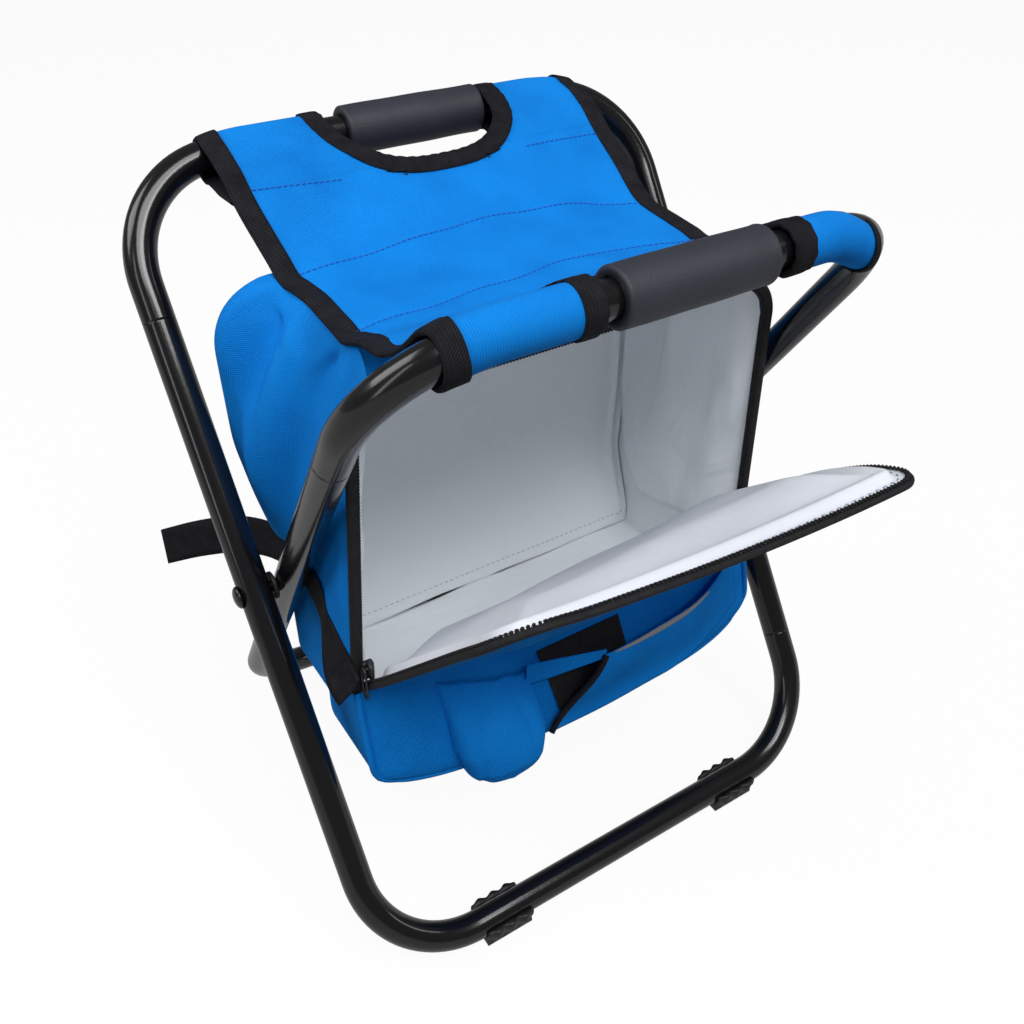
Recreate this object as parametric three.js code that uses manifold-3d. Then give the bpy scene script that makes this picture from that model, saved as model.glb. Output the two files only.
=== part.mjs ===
// Folding cooler stool: two steel tube hoops crossed at a riveted pivot, a cloth sling between
// their top bars, and an insulated bag with a zipped front door that hangs under the sling.
// Millimetres, +Z up, +X to the right as seen from the front, and the door faces -Y.

import * as THREE from 'three';
import { mergeVertices } from 'three/addons/utils/BufferGeometryUtils.js';
import Module from 'manifold-3d';

const wasm = await Module();
wasm.setup();

// Frame
const FRAME_WIDTH = 338; // between the leg axes of the outer hoop
const BASE_DEPTH = 268; // between the axes of the two bottom bars
const SEAT_DEPTH = 264; // between the axes of the two top bars
const SEAT_HEIGHT = 406; // axis of the top bars above the floor
const TUBE_D = 18;
const TUBE_WALL = 1;
const BEND_RADIUS = 61; // of the tube's axis
const LEG_GAP = 3; // between the outer and the inner leg at the pivot
const SEAM_FROM_BEND = 20; // where the two halves of a hoop meet, past the end of a bend
const FIT = 0.3; // clearance between neighbouring pieces

// Pivot
const RIVET_D = 6;
const RIVET_HEAD_D = 13;
const RIVET_HEAD_HEIGHT = 3;
const RIVET_TAIL_HEIGHT = 2;
const WASHER_D = 16;

// Grips and feet
const GRIP_LENGTH = 100;
const GRIP_D = 34;
const SLING_SHIFT = 6; // the grips and hand cut-outs sit a little to the right of centre
const FOOT_LENGTH = 32;
const FOOT_WALL = 3.2;
const FOOT_SOLE = 3; // under the tube
const FOOT_SOLE_WIDTH = 19;
const FOOT_WRAP = THREE.MathUtils.degToRad(14); // how far the clip reaches above the tube's axis

// Sling
const SLING_WIDTH = 230;
const SLING_THICKNESS = 2;
const SLEEVE_EASE = 0.8; // slack of a sleeve round its bar
const SLING_LOW = 367; // height of the part between the two bag seams
const REAR_SEAM_Y = 33;
const FRONT_SEAM_Y = -48;
const CUTOUT_WIDTH = 116;
const CUTOUT_DEPTH = 62; // from the bar's axis
const BINDING_WALL = 0.8;
const BINDING_EASE = 0.5; // between a binding and the cloth it folds round
const BINDING_WIDTH = 14;

// Bag
const LEG_CLEARANCE = 5; // between the bag and the inner legs
const BAG_BOTTOM = 108;
const BAG_BACK_Y = 60;
const BAG_FRONT_Y = -62; // plane of the door opening
const BAG_TOE_Y = -79; // front edge of the bag's bottom
const SHOULDER_DROP = 20; // height over which the bag widens from the sling's edge
const BAG_SWELL = 14; // how far the upper sides bulge, behind the path of the folding legs
const SWELL_FRONT_Y = 16; // where the bulge starts, and where it is full
const SWELL_BACK_Y = 32;
const SWELL_LOW = 215;
const SWELL_HIGH = 250;
const BAG_CORNER = 24;
const BAG_EDGE = 12;
const COVER_THICKNESS = 1.2;
const FOAM_THICKNESS = 5;
const LINING_THICKNESS = 0.8;
const PIPING_D = 4;

// Door
const DOOR_SILL = 172; // height of the fabric hinge
const DOOR_HEIGHT = 172;
const DOOR_FROM_SIDE = 6; // of the bag's front that stays beside the door
const DOOR_CORNER = 26;
const DOOR_OPEN = THREE.MathUtils.degToRad(46.5); // forward of upright, as the stool stands
const ZIP_RIM = 7;
const ZIP_TAPE_THICKNESS = 1.2;
const ZIP_TAPE_WIDTH = 4.6;

// Zip sliders and pulls
const SLIDER_LENGTH = 11;
const SLIDER_WIDTH = 6.2;
const SLIDER_THICKNESS = 3.2;
const SLIDER_ABOVE_SILL = 10;
const PULL_WIDTH = 4;
const PULL_LENGTH = 23;
const PULL_THICKNESS = 1.6;
const PULL_PIN_D = 1.6;

// Pockets on the lower front panel
const POCKET_CLOTH = 1.5;
const BOTTLE_FROM_SIDE = 32;
const BOTTLE_WIDTH = 70;
const BOTTLE_FRONT_Y = -112;
const BOTTLE_BASE = 103;
const BOTTLE_TOP = 157;
const POCKET_GAP = 15; // between the two pockets
const ACCESSORY_FROM_SIDE = 13;
const ACCESSORY_FRONT_Y = -106;
const ACCESSORY_BASE = 107;
const ACCESSORY_TOP = 151;
const STRIP_LENGTH = 74;
const STRIP_HEIGHT = 5;
const STRIP_THICKNESS = 0.8;
const STRIP_FROM_TOP = 3;

// Side straps
const STRAP_WIDTH = 25;
const STRAP_THICKNESS = 1.5;
const STRAP_FRONT_Z = 187; // height of the strap's middle at the door opening
const STRAP_BACK_Z = 214; // and where it turns outwards
const STRAP_TURN_Y = 13;
const TAIL_PAST_LEG = 21; // from the outer leg's axis
const TAIL_END_Y = 118;
const TAIL_END_Z = 172;

const TUBE_SIDES = 12;
const GRIP_SIDES = 20;
const BEND_STEPS = 8;
const ROUND_STEPS = 4;
const ARC_STEPS = 10;

// Derived places
const tubeR = TUBE_D / 2;
const outerX = FRAME_WIDTH / 2;
const innerX = outerX - TUBE_D - LEG_GAP;
const baseZ = FOOT_SOLE + FIT + tubeR;
const rearBarY = SEAT_DEPTH / 2;
const frontBarY = -SEAT_DEPTH / 2;
const pivotZ = baseZ + (SEAT_HEIGHT - baseZ) * BASE_DEPTH / (BASE_DEPTH + SEAT_DEPTH);
const slingHalf = SLING_THICKNESS / 2;
const bindingOut = BINDING_EASE + BINDING_WALL; // binding's outer face from the sling's face
const sleeveR = tubeR + SLEEVE_EASE + bindingOut + slingHalf; // middle of the cloth round a bar
const bagTop = SLING_LOW - slingHalf - bindingOut - FIT;
const bagHalf = innerX - tubeR - LEG_CLEARANCE;
const bagWide = bagHalf + BAG_SWELL;
const foamOut = COVER_THICKNESS + FIT;
const foamIn = foamOut + FOAM_THICKNESS;
const liningOut = foamIn + FIT;
const wall = liningOut + LINING_THICKNESS;
const doorHalf = bagHalf - DOOR_FROM_SIDE;
const bottleX = BOTTLE_FROM_SIDE + BOTTLE_WIDTH / 2 - bagHalf;
const accessoryLeft = bottleX + BOTTLE_WIDTH / 2 + POCKET_GAP;
const accessoryRight = bagHalf - ACCESSORY_FROM_SIDE;
const accessoryX = (accessoryLeft + accessoryRight) / 2;
const accessoryWidth = accessoryRight - accessoryLeft;

// A three.js geometry as a solid for joining and cutting, and back again.
function solidOf(geometry) {
  const bare = geometry.clone();
  bare.deleteAttribute('normal');
  bare.deleteAttribute('uv');
  const merged = mergeVertices(bare, 1e-4);
  return new wasm.Manifold(new wasm.Mesh({
    numProp: 3,
    vertProperties: new Float32Array(merged.attributes.position.array),
    triVerts: new Uint32Array(merged.index.array),
  }));
}

// Only the main body is kept, without any sliver that a cut leaves beside it.
function geometryOf(solid) {
  const bodies = solid.decompose();
  const main = bodies.reduce((best, body) => (body.volume() > best.volume() ? body : best));
  const mesh = main.getMesh();
  const geometry = new THREE.BufferGeometry();
  geometry.setAttribute('position', new THREE.BufferAttribute(new Float32Array(mesh.vertProperties), 3));
  geometry.setIndex(new THREE.BufferAttribute(new Uint32Array(mesh.triVerts), 1));
  geometry.computeVertexNormals();
  return geometry;
}

// Extrusions of a flat shape: drawn in (y, z) and run along X, in (x, z) along Y, in (x, y) along Z.
const alongX = new THREE.Matrix4().makeBasis(
  new THREE.Vector3(0, 1, 0), new THREE.Vector3(0, 0, 1), new THREE.Vector3(1, 0, 0));
const alongY = new THREE.Matrix4().makeBasis(
  new THREE.Vector3(1, 0, 0), new THREE.Vector3(0, 0, 1), new THREE.Vector3(0, -1, 0));

function prism(shape, length) {
  const options = { depth: length, bevelEnabled: false, curveSegments: ROUND_STEPS };
  return new THREE.ExtrudeGeometry(shape, options);
}

function prismX(shape, from, to) {
  return prism(shape, to - from).applyMatrix4(alongX).translate(from, 0, 0);
}

function prismY(shape, from, to) {
  return prism(shape, to - from).applyMatrix4(alongY).translate(0, to, 0);
}

function prismZ(shape, from, to) {
  return prism(shape, to - from).translate(0, 0, from);
}

function boxBetween(low, high) {
  const size = high.map((value, axis) => value - low[axis]);
  const middle = high.map((value, axis) => (value + low[axis]) / 2);
  return solidOf(new THREE.BoxGeometry(...size).translate(...middle));
}

// Points on an arc, from one angle to another, both ends included.
function arc(cx, cy, rx, ry, from, to, steps) {
  return Array.from({ length: steps + 1 }, (_, i) => {
    const angle = from + (to - from) * i / steps;
    return new THREE.Vector2(cx + rx * Math.cos(angle), cy + ry * Math.sin(angle));
  });
}

function circle(radius, sides, cx = 0, cy = 0) {
  return arc(cx, cy, radius, radius, 0, 2 * Math.PI * (1 - 1 / sides), sides - 1);
}

function ringShape(outer, inner, sides, cx = 0, cy = 0) {
  const shape = new THREE.Shape(circle(outer, sides, cx, cy));
  shape.holes.push(new THREE.Path(circle(inner, sides, cx, cy)));
  return shape;
}

// An anticlockwise outline with every side moved inwards by a distance.
function inset(points, distance) {
  const sides = points.map((p, i) => {
    const along = points[(i + 1) % points.length].clone().sub(p).normalize();
    const start = p.clone().add(new THREE.Vector2(-along.y, along.x).multiplyScalar(distance));
    return { start, along };
  });
  return sides.map((side, i) => {
    const before = sides[(i + sides.length - 1) % sides.length];
    const gap = side.start.clone().sub(before.start);
    const reach = gap.cross(side.along) / before.along.cross(side.along);
    return before.start.clone().addScaledVector(before.along, reach);
  });
}

// An outline whose corners are rounded, each by its own reach along both sides.
function rounded(points, reaches) {
  const shape = new THREE.Shape();
  points.forEach((p, i) => {
    const before = points[(i + points.length - 1) % points.length];
    const after = points[(i + 1) % points.length];
    const start = p.clone().add(before.clone().sub(p).setLength(reaches[i]));
    const end = p.clone().add(after.clone().sub(p).setLength(reaches[i]));
    if (i === 0) shape.moveTo(start.x, start.y);
    else shape.lineTo(start.x, start.y);
    if (reaches[i] > 0) shape.quadraticCurveTo(p.x, p.y, end.x, end.y);
  });
  shape.closePath();
  return shape;
}

function vectors(pairs) {
  return pairs.map(([x, y]) => new THREE.Vector2(x, y));
}

// A path of straight runs and bends, with one step for each run and a few for each bend.
class HoopPath extends THREE.Curve {
  constructor(pieces) {
    super();
    this.pieces = pieces;
    this.steps = pieces.reduce((sum, piece) => sum + piece.steps, 0);
  }

  getPoint(t) {
    let at = Math.min(Math.max(t, 0), 1) * this.steps;
    let index = 0;
    while (index < this.pieces.length - 1 && at > this.pieces[index].steps) {
      at -= this.pieces[index].steps;
      index += 1;
    }
    return this.pieces[index].point(at / this.pieces[index].steps);
  }

  // Halfway between the directions before and after a place, so that steps meet in a mitre.
  getTangent(t) {
    const small = 1e-4;
    const here = this.getPoint(t);
    const into = here.clone().sub(this.getPoint(t - small)).normalize();
    const out = this.getPoint(t + small).sub(here).normalize();
    return into.add(out).normalize();
  }

  getUtoTmapping(u) {
    return u;
  }
}

// One hoop lies in a plane through its bottom bar and its top bar. Flat places in that plane are
// (x, s), with s measured up the leg from the bottom bar's axis.
function hoopOf(bottomY, topY, halfWidth) {
  const up = new THREE.Vector3(0, topY - bottomY, SEAT_HEIGHT - baseZ);
  const length = up.length();
  up.normalize();
  const at = (x, s) => new THREE.Vector3(x, bottomY, baseZ).addScaledVector(up, s);
  return { at, length, halfWidth, bottomY };
}

const outerHoop = hoopOf(-BASE_DEPTH / 2, rearBarY, outerX);
const innerHoop = hoopOf(BASE_DEPTH / 2, frontBarY, innerX);

// The axis of a top bar between two places across the stool, round its bends where it reaches
// them. A bend is a row of short straight steps, the same ones for every piece that follows it.
function barRun(hoop, from, to) {
  const side = hoop.halfWidth - BEND_RADIUS;
  const high = hoop.length - BEND_RADIUS;
  const turns = Array.from({ length: BEND_STEPS }, (_, i) => (i + 1) * Math.PI / 2 / BEND_STEPS);
  const right = [0, ...turns].map((a) => [side + BEND_RADIUS * Math.sin(a), high + BEND_RADIUS * Math.cos(a)]);
  const left = right.map(([x, s]) => [-x, s]).reverse();
  const corners = [...left, ...right];
  const rise = (x) => {
    const end = Math.max(corners.findIndex((corner) => corner[0] >= x), 1);
    const [x0, s0] = corners[end - 1];
    const [x1, s1] = corners[end];
    return s0 + (s1 - s0) * (x - x0) / (x1 - x0);
  };
  const inside = corners.filter(([x]) => x > from && x < to);
  const places = [[from, rise(from)], ...inside, [to, rise(to)]].map(([x, s]) => hoop.at(x, s));
  const run = (a, b) => ({ steps: 1, point: (t) => a.clone().lerp(b, t) });
  return new HoopPath(places.slice(1).map((place, i) => run(places[i], place)));
}

// Half a hoop: from a seam on one leg, round two bends and down the other leg to its seam.
function halfHoop(hoop, turned) {
  const sign = turned ? -1 : 1;
  const far = hoop.length;
  const halfWidth = hoop.halfWidth;
  const at = (x, s) => hoop.at(sign * x, turned ? far - s : s);
  const line = (a, b) => ({ steps: 1, point: (t) => at(a[0] + (b[0] - a[0]) * t, a[1] + (b[1] - a[1]) * t) });
  const bend = (cx, cs, from, to) => ({
    steps: BEND_STEPS,
    point: (t) => {
      const angle = from + (to - from) * t;
      return at(cx + BEND_RADIUS * Math.cos(angle), cs + BEND_RADIUS * Math.sin(angle));
    },
  });
  const high = far - BEND_RADIUS;
  const side = halfWidth - BEND_RADIUS;
  const seamHigh = high - SEAM_FROM_BEND + FIT / 2;
  const seamLow = BEND_RADIUS + SEAM_FROM_BEND + FIT / 2;
  return new HoopPath([
    line([-halfWidth, seamHigh], [-halfWidth, high]),
    bend(-side, high, Math.PI, Math.PI / 2),
    line([-side, far], [side, far]),
    bend(side, high, Math.PI / 2, 0),
    line([halfWidth, high], [halfWidth, seamLow]),
  ]);
}

function hoopTube(path, pivotX) {
  const options = { extrudePath: path, steps: path.steps, bevelEnabled: false };
  const tube = new THREE.ExtrudeGeometry(ringShape(tubeR, tubeR - TUBE_WALL, TUBE_SIDES), options);
  const hole = new THREE.Shape(circle(RIVET_D / 2 + FIT, TUBE_SIDES, 0, pivotZ));
  const drill = prismX(hole, pivotX - TUBE_D, pivotX + TUBE_D);
  return geometryOf(solidOf(tube).subtract(solidOf(drill)));
}

// A short sleeve inside the tube where the two halves of a hoop meet.
function seamSleeve(hoop, x, s) {
  const half = SEAM_FROM_BEND - FIT;
  const path = new THREE.LineCurve3(hoop.at(x, s - half), hoop.at(x, s + half));
  const radius = (tubeR - TUBE_WALL) * Math.cos(Math.PI / TUBE_SIDES) - FIT;
  const shape = ringShape(radius, radius - TUBE_WALL, TUBE_SIDES);
  return new THREE.ExtrudeGeometry(shape, { extrudePath: path, steps: 1, bevelEnabled: false });
}

// The rivet runs along X, with its domed head outside the outer leg and its tail inside the inner one.
function rivet(side) {
  const headSeat = outerX + tubeR + FIT;
  const tailSeat = innerX - tubeR - FIT;
  const shank = RIVET_D / 2;
  const head = RIVET_HEAD_D / 2;
  const dome = arc(0, headSeat, head, RIVET_HEAD_HEIGHT, 0, Math.PI / 2, ROUND_STEPS);
  dome[dome.length - 1].x = 0;
  const profile = [
    new THREE.Vector2(0, tailSeat - RIVET_TAIL_HEIGHT),
    new THREE.Vector2(head, tailSeat - RIVET_TAIL_HEIGHT),
    new THREE.Vector2(head, tailSeat),
    new THREE.Vector2(shank, tailSeat),
    new THREE.Vector2(shank, headSeat),
    ...dome,
  ];
  const lathe = new THREE.LatheGeometry(profile, TUBE_SIDES);
  return lathe.rotateZ(-side * Math.PI / 2).translate(0, 0, pivotZ);
}

function washer(side) {
  const shape = ringShape(WASHER_D / 2, RIVET_D / 2 + FIT, TUBE_SIDES, 0, pivotZ);
  const from = innerX + tubeR + FIT;
  const to = outerX - tubeR - FIT;
  return side < 0 ? prismX(shape, -to, -from) : prismX(shape, from, to);
}

function grip(barY) {
  const shape = ringShape(GRIP_D / 2, tubeR + FIT, GRIP_SIDES, barY, SEAT_HEIGHT);
  return prismX(shape, SLING_SHIFT - GRIP_LENGTH / 2, SLING_SHIFT + GRIP_LENGTH / 2);
}

// A clip that wraps the underside of a bottom bar and stands on a flat sole.
function foot(side, hoop) {
  const barY = hoop.bottomY;
  const inner = tubeR + FIT;
  const outer = inner + FOOT_WALL;
  const soleHalf = FOOT_SOLE_WIDTH / 2;
  const clipOutside = [
    ...arc(barY, baseZ, outer, outer, FOOT_WRAP, -0.2 * Math.PI, ROUND_STEPS),
    new THREE.Vector2(barY + soleHalf, 0),
    new THREE.Vector2(barY - soleHalf, 0),
    ...arc(barY, baseZ, outer, outer, -0.8 * Math.PI, -Math.PI - FOOT_WRAP, ROUND_STEPS),
  ];
  const clipInside = arc(barY, baseZ, inner, inner, -Math.PI - FOOT_WRAP, FOOT_WRAP, ARC_STEPS + 2);
  const shape = new THREE.Shape([...clipOutside, ...clipInside]);
  const end = side * (hoop.halfWidth - BEND_RADIUS - FIT);
  const start = end - side * FOOT_LENGTH;
  return prismX(shape, Math.min(start, end), Math.max(start, end));
}

// The sling: a sleeve round each top bar and a band that leaves both sleeves at a tangent and
// sags to the two seams where the bag is sewn on. The half thickness sets how fat the solid is.
function tangentPoint(barY, seamY, past) {
  const toSeam = new THREE.Vector2(seamY - barY, SLING_LOW - SEAT_HEIGHT);
  const lean = Math.acos(sleeveR / toSeam.length());
  const angle = toSeam.angle() + (seamY < barY ? -lean : lean);
  const touch = new THREE.Vector2(barY + sleeveR * Math.cos(angle), SEAT_HEIGHT + sleeveR * Math.sin(angle));
  const away = touch.clone().sub(new THREE.Vector2(seamY, SLING_LOW)).setLength(past);
  return touch.add(away);
}

function bandShape(points, half) {
  const before = points[0].clone().multiplyScalar(2).sub(points[1]);
  const after = points[points.length - 1].clone().multiplyScalar(2).sub(points[points.length - 2]);
  const run = [before, ...points, after];
  const side = (sign) => points.map((p, i) => {
    const into = p.clone().sub(run[i]).normalize();
    const out = run[i + 2].clone().sub(p).normalize();
    const normal = new THREE.Vector2(-into.y - out.y, into.x + out.x).normalize();
    const mitre = half / normal.dot(new THREE.Vector2(-into.y, into.x));
    return p.clone().addScaledVector(normal, sign * mitre);
  });
  return new THREE.Shape([...side(1), ...side(-1).reverse()]);
}

function slingSolid(half, from, to) {
  const middle = [
    tangentPoint(rearBarY, REAR_SEAM_Y, half / 2),
    new THREE.Vector2(REAR_SEAM_Y, SLING_LOW),
    new THREE.Vector2(FRONT_SEAM_Y, SLING_LOW),
    tangentPoint(frontBarY, FRONT_SEAM_Y, half / 2),
  ];
  const round = (hoop, radius, past) => {
    const path = barRun(hoop, from - past, to + past);
    const options = { extrudePath: path, steps: path.steps, bevelEnabled: false };
    return solidOf(new THREE.ExtrudeGeometry(new THREE.Shape(circle(radius, GRIP_SIDES)), options));
  };
  const band = solidOf(prismX(bandShape(middle, half), from, to));
  const cloth = band.add(round(outerHoop, sleeveR + half, 0)).add(round(innerHoop, sleeveR + half, 0));
  const bores = round(outerHoop, sleeveR - half, tubeR / 2).add(round(innerHoop, sleeveR - half, tubeR / 2));
  return cloth.subtract(bores);
}

// A hand cut-out is half an ellipse that opens at its bar, drawn from above and grown by a margin.
function cutoutSolid(barY, grown) {
  const inward = barY > 0 ? -1 : 1;
  const halfWidth = CUTOUT_WIDTH / 2 + grown;
  const beyond = barY - inward * (sleeveR + SLING_THICKNESS + bindingOut + grown);
  const curve = arc(SLING_SHIFT, barY, halfWidth, CUTOUT_DEPTH + grown, 0, inward * Math.PI, ARC_STEPS + 4);
  const shape = new THREE.Shape([
    ...curve,
    new THREE.Vector2(SLING_SHIFT - halfWidth, beyond),
    new THREE.Vector2(SLING_SHIFT + halfWidth, beyond),
  ]);
  return solidOf(prismZ(shape, bagTop - GRIP_D, SEAT_HEIGHT + GRIP_D));
}

const slingEdge = SLING_WIDTH / 2;
const slingReach = slingEdge + BINDING_WIDTH;

function sling() {
  const cloth = slingSolid(slingHalf, -slingEdge, slingEdge);
  const rear = cutoutSolid(rearBarY, bindingOut);
  const front = cutoutSolid(frontBarY, bindingOut);
  return geometryOf(cloth.subtract(rear).subtract(front));
}

function edgeBinding(side) {
  const inner = slingEdge - BINDING_WIDTH;
  const outer = slingEdge + bindingOut;
  const ends = (a, b) => (side < 0 ? [-b, -a] : [a, b]);
  const outside = slingSolid(slingHalf + bindingOut, ...ends(inner, outer));
  const inside = slingSolid(slingHalf + BINDING_EASE, ...ends(inner - tubeR / 2, slingEdge + BINDING_EASE));
  return geometryOf(outside.subtract(inside));
}

function cutoutBinding(barY) {
  const ring = cutoutSolid(barY, BINDING_WIDTH).subtract(cutoutSolid(barY, 0));
  const outside = slingSolid(slingHalf + bindingOut, -slingReach, slingReach).intersect(ring);
  const clothEdge = cutoutSolid(barY, BINDING_WALL);
  const inside = slingSolid(slingHalf + BINDING_EASE, -slingReach - 1, slingReach + 1).subtract(clothEdge);
  return geometryOf(outside.subtract(inside));
}

// The bag's body with every wall moved inwards by a distance, seen from the side, the front and
// above. Its sides bulge high up at the back. An open one runs on past the sling.
function bagSolid(distance, open = false) {
  const rise = open ? SHOULDER_DROP / 2 : 0;
  const slope = (bagWide - slingEdge) / SHOULDER_DROP;
  const topHalf = slingEdge - slope * rise;
  const top = bagTop + rise;
  const reach = (full) => Math.max(full - distance, 1);
  const sideView = inset(vectors([
    [BAG_TOE_Y, BAG_BOTTOM],
    [BAG_BACK_Y, BAG_BOTTOM],
    [BAG_BACK_Y, top],
    [BAG_FRONT_Y, top],
    [BAG_FRONT_Y, DOOR_SILL],
  ]), distance);
  const frontView = inset(vectors([
    [-bagHalf, BAG_BOTTOM],
    [bagHalf, BAG_BOTTOM],
    [bagHalf, SWELL_LOW],
    [bagWide, SWELL_HIGH],
    [bagWide, bagTop - SHOULDER_DROP],
    [topHalf, top],
    [-topHalf, top],
    [-bagWide, bagTop - SHOULDER_DROP],
    [-bagWide, SWELL_HIGH],
    [-bagHalf, SWELL_LOW],
  ]), distance);
  const plan = inset(vectors([
    [-bagHalf, BAG_TOE_Y],
    [bagHalf, BAG_TOE_Y],
    [bagHalf, SWELL_FRONT_Y],
    [bagWide, SWELL_BACK_Y],
    [bagWide, BAG_BACK_Y],
    [-bagWide, BAG_BACK_Y],
    [-bagWide, SWELL_BACK_Y],
    [-bagHalf, SWELL_FRONT_Y],
  ]), distance);
  const edge = reach(BAG_EDGE);
  const corner = reach(BAG_CORNER);
  const fromSide = solidOf(prismX(rounded(sideView, [edge, corner, edge, 0, 0]), -bagWide, bagWide));
  const frontReaches = [edge, edge, 0, 0, 0, 0, 0, 0, 0, 0];
  const fromFront = solidOf(prismY(rounded(frontView, frontReaches), BAG_TOE_Y, BAG_BACK_Y));
  const planReaches = [edge, edge, 0, 0, corner, corner, 0, 0];
  const fromAbove = solidOf(prismZ(rounded(plan, planReaches), BAG_BOTTOM, top));
  return fromSide.intersect(fromFront).intersect(fromAbove);
}

// The door's outline about its hinge line, drawn from the front, shrunk on its three free sides.
function doorShape(shrink, bottom) {
  const half = doorHalf - shrink;
  const top = DOOR_HEIGHT - shrink;
  const corner = Math.max(DOOR_CORNER - shrink, 1);
  return rounded(vectors([[-half, bottom], [half, bottom], [half, top], [-half, top]]), [0, 0, corner, corner]);
}

const doorway = solidOf(
  prismY(doorShape(-2 * FIT, 0), BAG_FRONT_Y - wall, BAG_FRONT_Y + wall + FIT).translate(0, 0, DOOR_SILL));

function bagCover() {
  return geometryOf(bagSolid(0).subtract(bagSolid(COVER_THICKNESS, true)).subtract(doorway));
}

function bagLining() {
  return geometryOf(bagSolid(liningOut).subtract(bagSolid(wall)).subtract(doorway));
}

// The foam boards inside the walls: two sides, then bottom, back, lower front and top between them.
const foamBoards = (() => {
  const shell = bagSolid(foamOut).subtract(bagSolid(foamIn)).subtract(doorway);
  const sideFace = bagHalf - foamIn;
  const floor = BAG_BOTTOM + foamIn;
  const back = BAG_BACK_Y - foamIn;
  const front = BAG_FRONT_Y + foamIn;
  const far = FRAME_WIDTH;
  const half = FIT / 2;
  const shelf = bagTop - SHOULDER_DROP;
  const between = (low, high) => shell.intersect(boxBetween(low, high));
  return {
    foam_left: between([-far, -far, 0], [-sideFace - half, far, far * 2]),
    foam_right: between([sideFace + half, -far, 0], [far, far, far * 2]),
    foam_bottom: between([-sideFace + half, -far, 0], [sideFace - half, far, floor - half]),
    foam_back: between([-sideFace + half, back + half, floor + half], [sideFace - half, far, far * 2]),
    foam_front: between([-sideFace + half, -far, floor + half], [sideFace - half, front, DOOR_SILL]),
    foam_top: between([-sideFace + half, -far, shelf], [sideFace - half, back - half, far * 2]),
  };
})();

// Piping along the seam of the lower front panel: down both sides and along the bottom.
function piping() {
  const r = PIPING_D / 2;
  const lean = new THREE.Vector2(BAG_FRONT_Y - BAG_TOE_Y, DOOR_SILL - BAG_BOTTOM).normalize();
  const out = new THREE.Vector2(-lean.y, lean.x).multiplyScalar(r + FIT);
  const at = (x, up) => new THREE.Vector3(
    x, BAG_TOE_Y + out.x + lean.x * up, BAG_BOTTOM + out.y + lean.y * up);
  const height = (DOOR_SILL - BAG_BOTTOM) / lean.y - PIPING_D;
  const x = bagHalf - r;
  const low = r + BAG_EDGE / 2;
  const bendReach = BAG_EDGE;
  const run = (a, b) => ({ steps: 1, point: (t) => a.clone().lerp(b, t) });
  const turn = (a, corner, b) => ({
    steps: ROUND_STEPS,
    point: (t) => new THREE.QuadraticBezierCurve3(a, corner, b).getPoint(t),
  });
  const path = new HoopPath([
    run(at(-x, height), at(-x, low + bendReach)),
    turn(at(-x, low + bendReach), at(-x, low), at(-x + bendReach, low)),
    run(at(-x + bendReach, low), at(x - bendReach, low)),
    turn(at(x - bendReach, low), at(x, low), at(x, low + bendReach)),
    run(at(x, low + bendReach), at(x, height)),
  ]);
  const options = { extrudePath: path, steps: path.steps, bevelEnabled: false };
  const cord = new THREE.ExtrudeGeometry(new THREE.Shape(circle(r, 8)), options);
  return geometryOf(solidOf(cord).subtract(bagSolid(-FIT)));
}

// A pocket is a bowed wall with a floor, open at the top and closed behind by the front panel.
function pocketOutline(x, width, frontY, shrink) {
  const half = width / 2 - shrink;
  const backY = BAG_FRONT_Y + wall;
  const root = BAG_TOE_Y + 2 * FIT;
  return new THREE.Shape([
    ...arc(x, root, half, root - frontY - shrink, Math.PI, 2 * Math.PI, ARC_STEPS + 4),
    new THREE.Vector2(x + half, backY),
    new THREE.Vector2(x - half, backY),
  ]);
}

function pocket(x, width, frontY, base, top) {
  const outside = solidOf(prismZ(pocketOutline(x, width, frontY, 0), base, top));
  const inside = solidOf(prismZ(pocketOutline(x, width, frontY, POCKET_CLOTH), base + POCKET_CLOTH, top + 1));
  const clear = solidOf(piping());
  const body = outside.subtract(inside).subtract(bagSolid(-FIT));
  return geometryOf(body.subtract(clear));
}

function reflectiveStrip() {
  const ring = (grown) => solidOf(prismZ(
    pocketOutline(accessoryX, accessoryWidth, ACCESSORY_FRONT_Y, -grown),
    ACCESSORY_TOP - STRIP_FROM_TOP - STRIP_HEIGHT, ACCESSORY_TOP - STRIP_FROM_TOP));
  const half = STRIP_LENGTH / 2;
  const reach = boxBetween(
    [accessoryX - half, 2 * ACCESSORY_FRONT_Y, 0], [accessoryX + half, BAG_TOE_Y, SEAT_HEIGHT]);
  return geometryOf(ring(FIT + STRIP_THICKNESS).subtract(ring(FIT)).intersect(reach));
}

// Half of the zip sewn to the bag: tape up both sides of the opening and across its top.
function bodyTape() {
  const inner = doorShape(-2 * FIT, -1);
  const outer = doorShape(-2 * FIT - ZIP_TAPE_WIDTH, 2 * FIT);
  const to = BAG_FRONT_Y - FIT;
  const from = to - ZIP_TAPE_THICKNESS;
  const ring = solidOf(prismY(outer, from, to)).subtract(solidOf(prismY(inner, from - 1, to + 1)));
  return geometryOf(ring.translate(0, 0, DOOR_SILL));
}

// The door's layers about the hinge line, as they lie with the door upright. Depth runs inwards.
function doorLayer(shrink, from, to) {
  return prismY(doorShape(shrink, FIT), from, to);
}

function doorTape() {
  const outer = solidOf(doorLayer(0, 0, ZIP_TAPE_THICKNESS));
  const inner = solidOf(prismY(doorShape(ZIP_RIM, -1), -1, ZIP_TAPE_THICKNESS + 1));
  return geometryOf(outer.subtract(inner));
}

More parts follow.
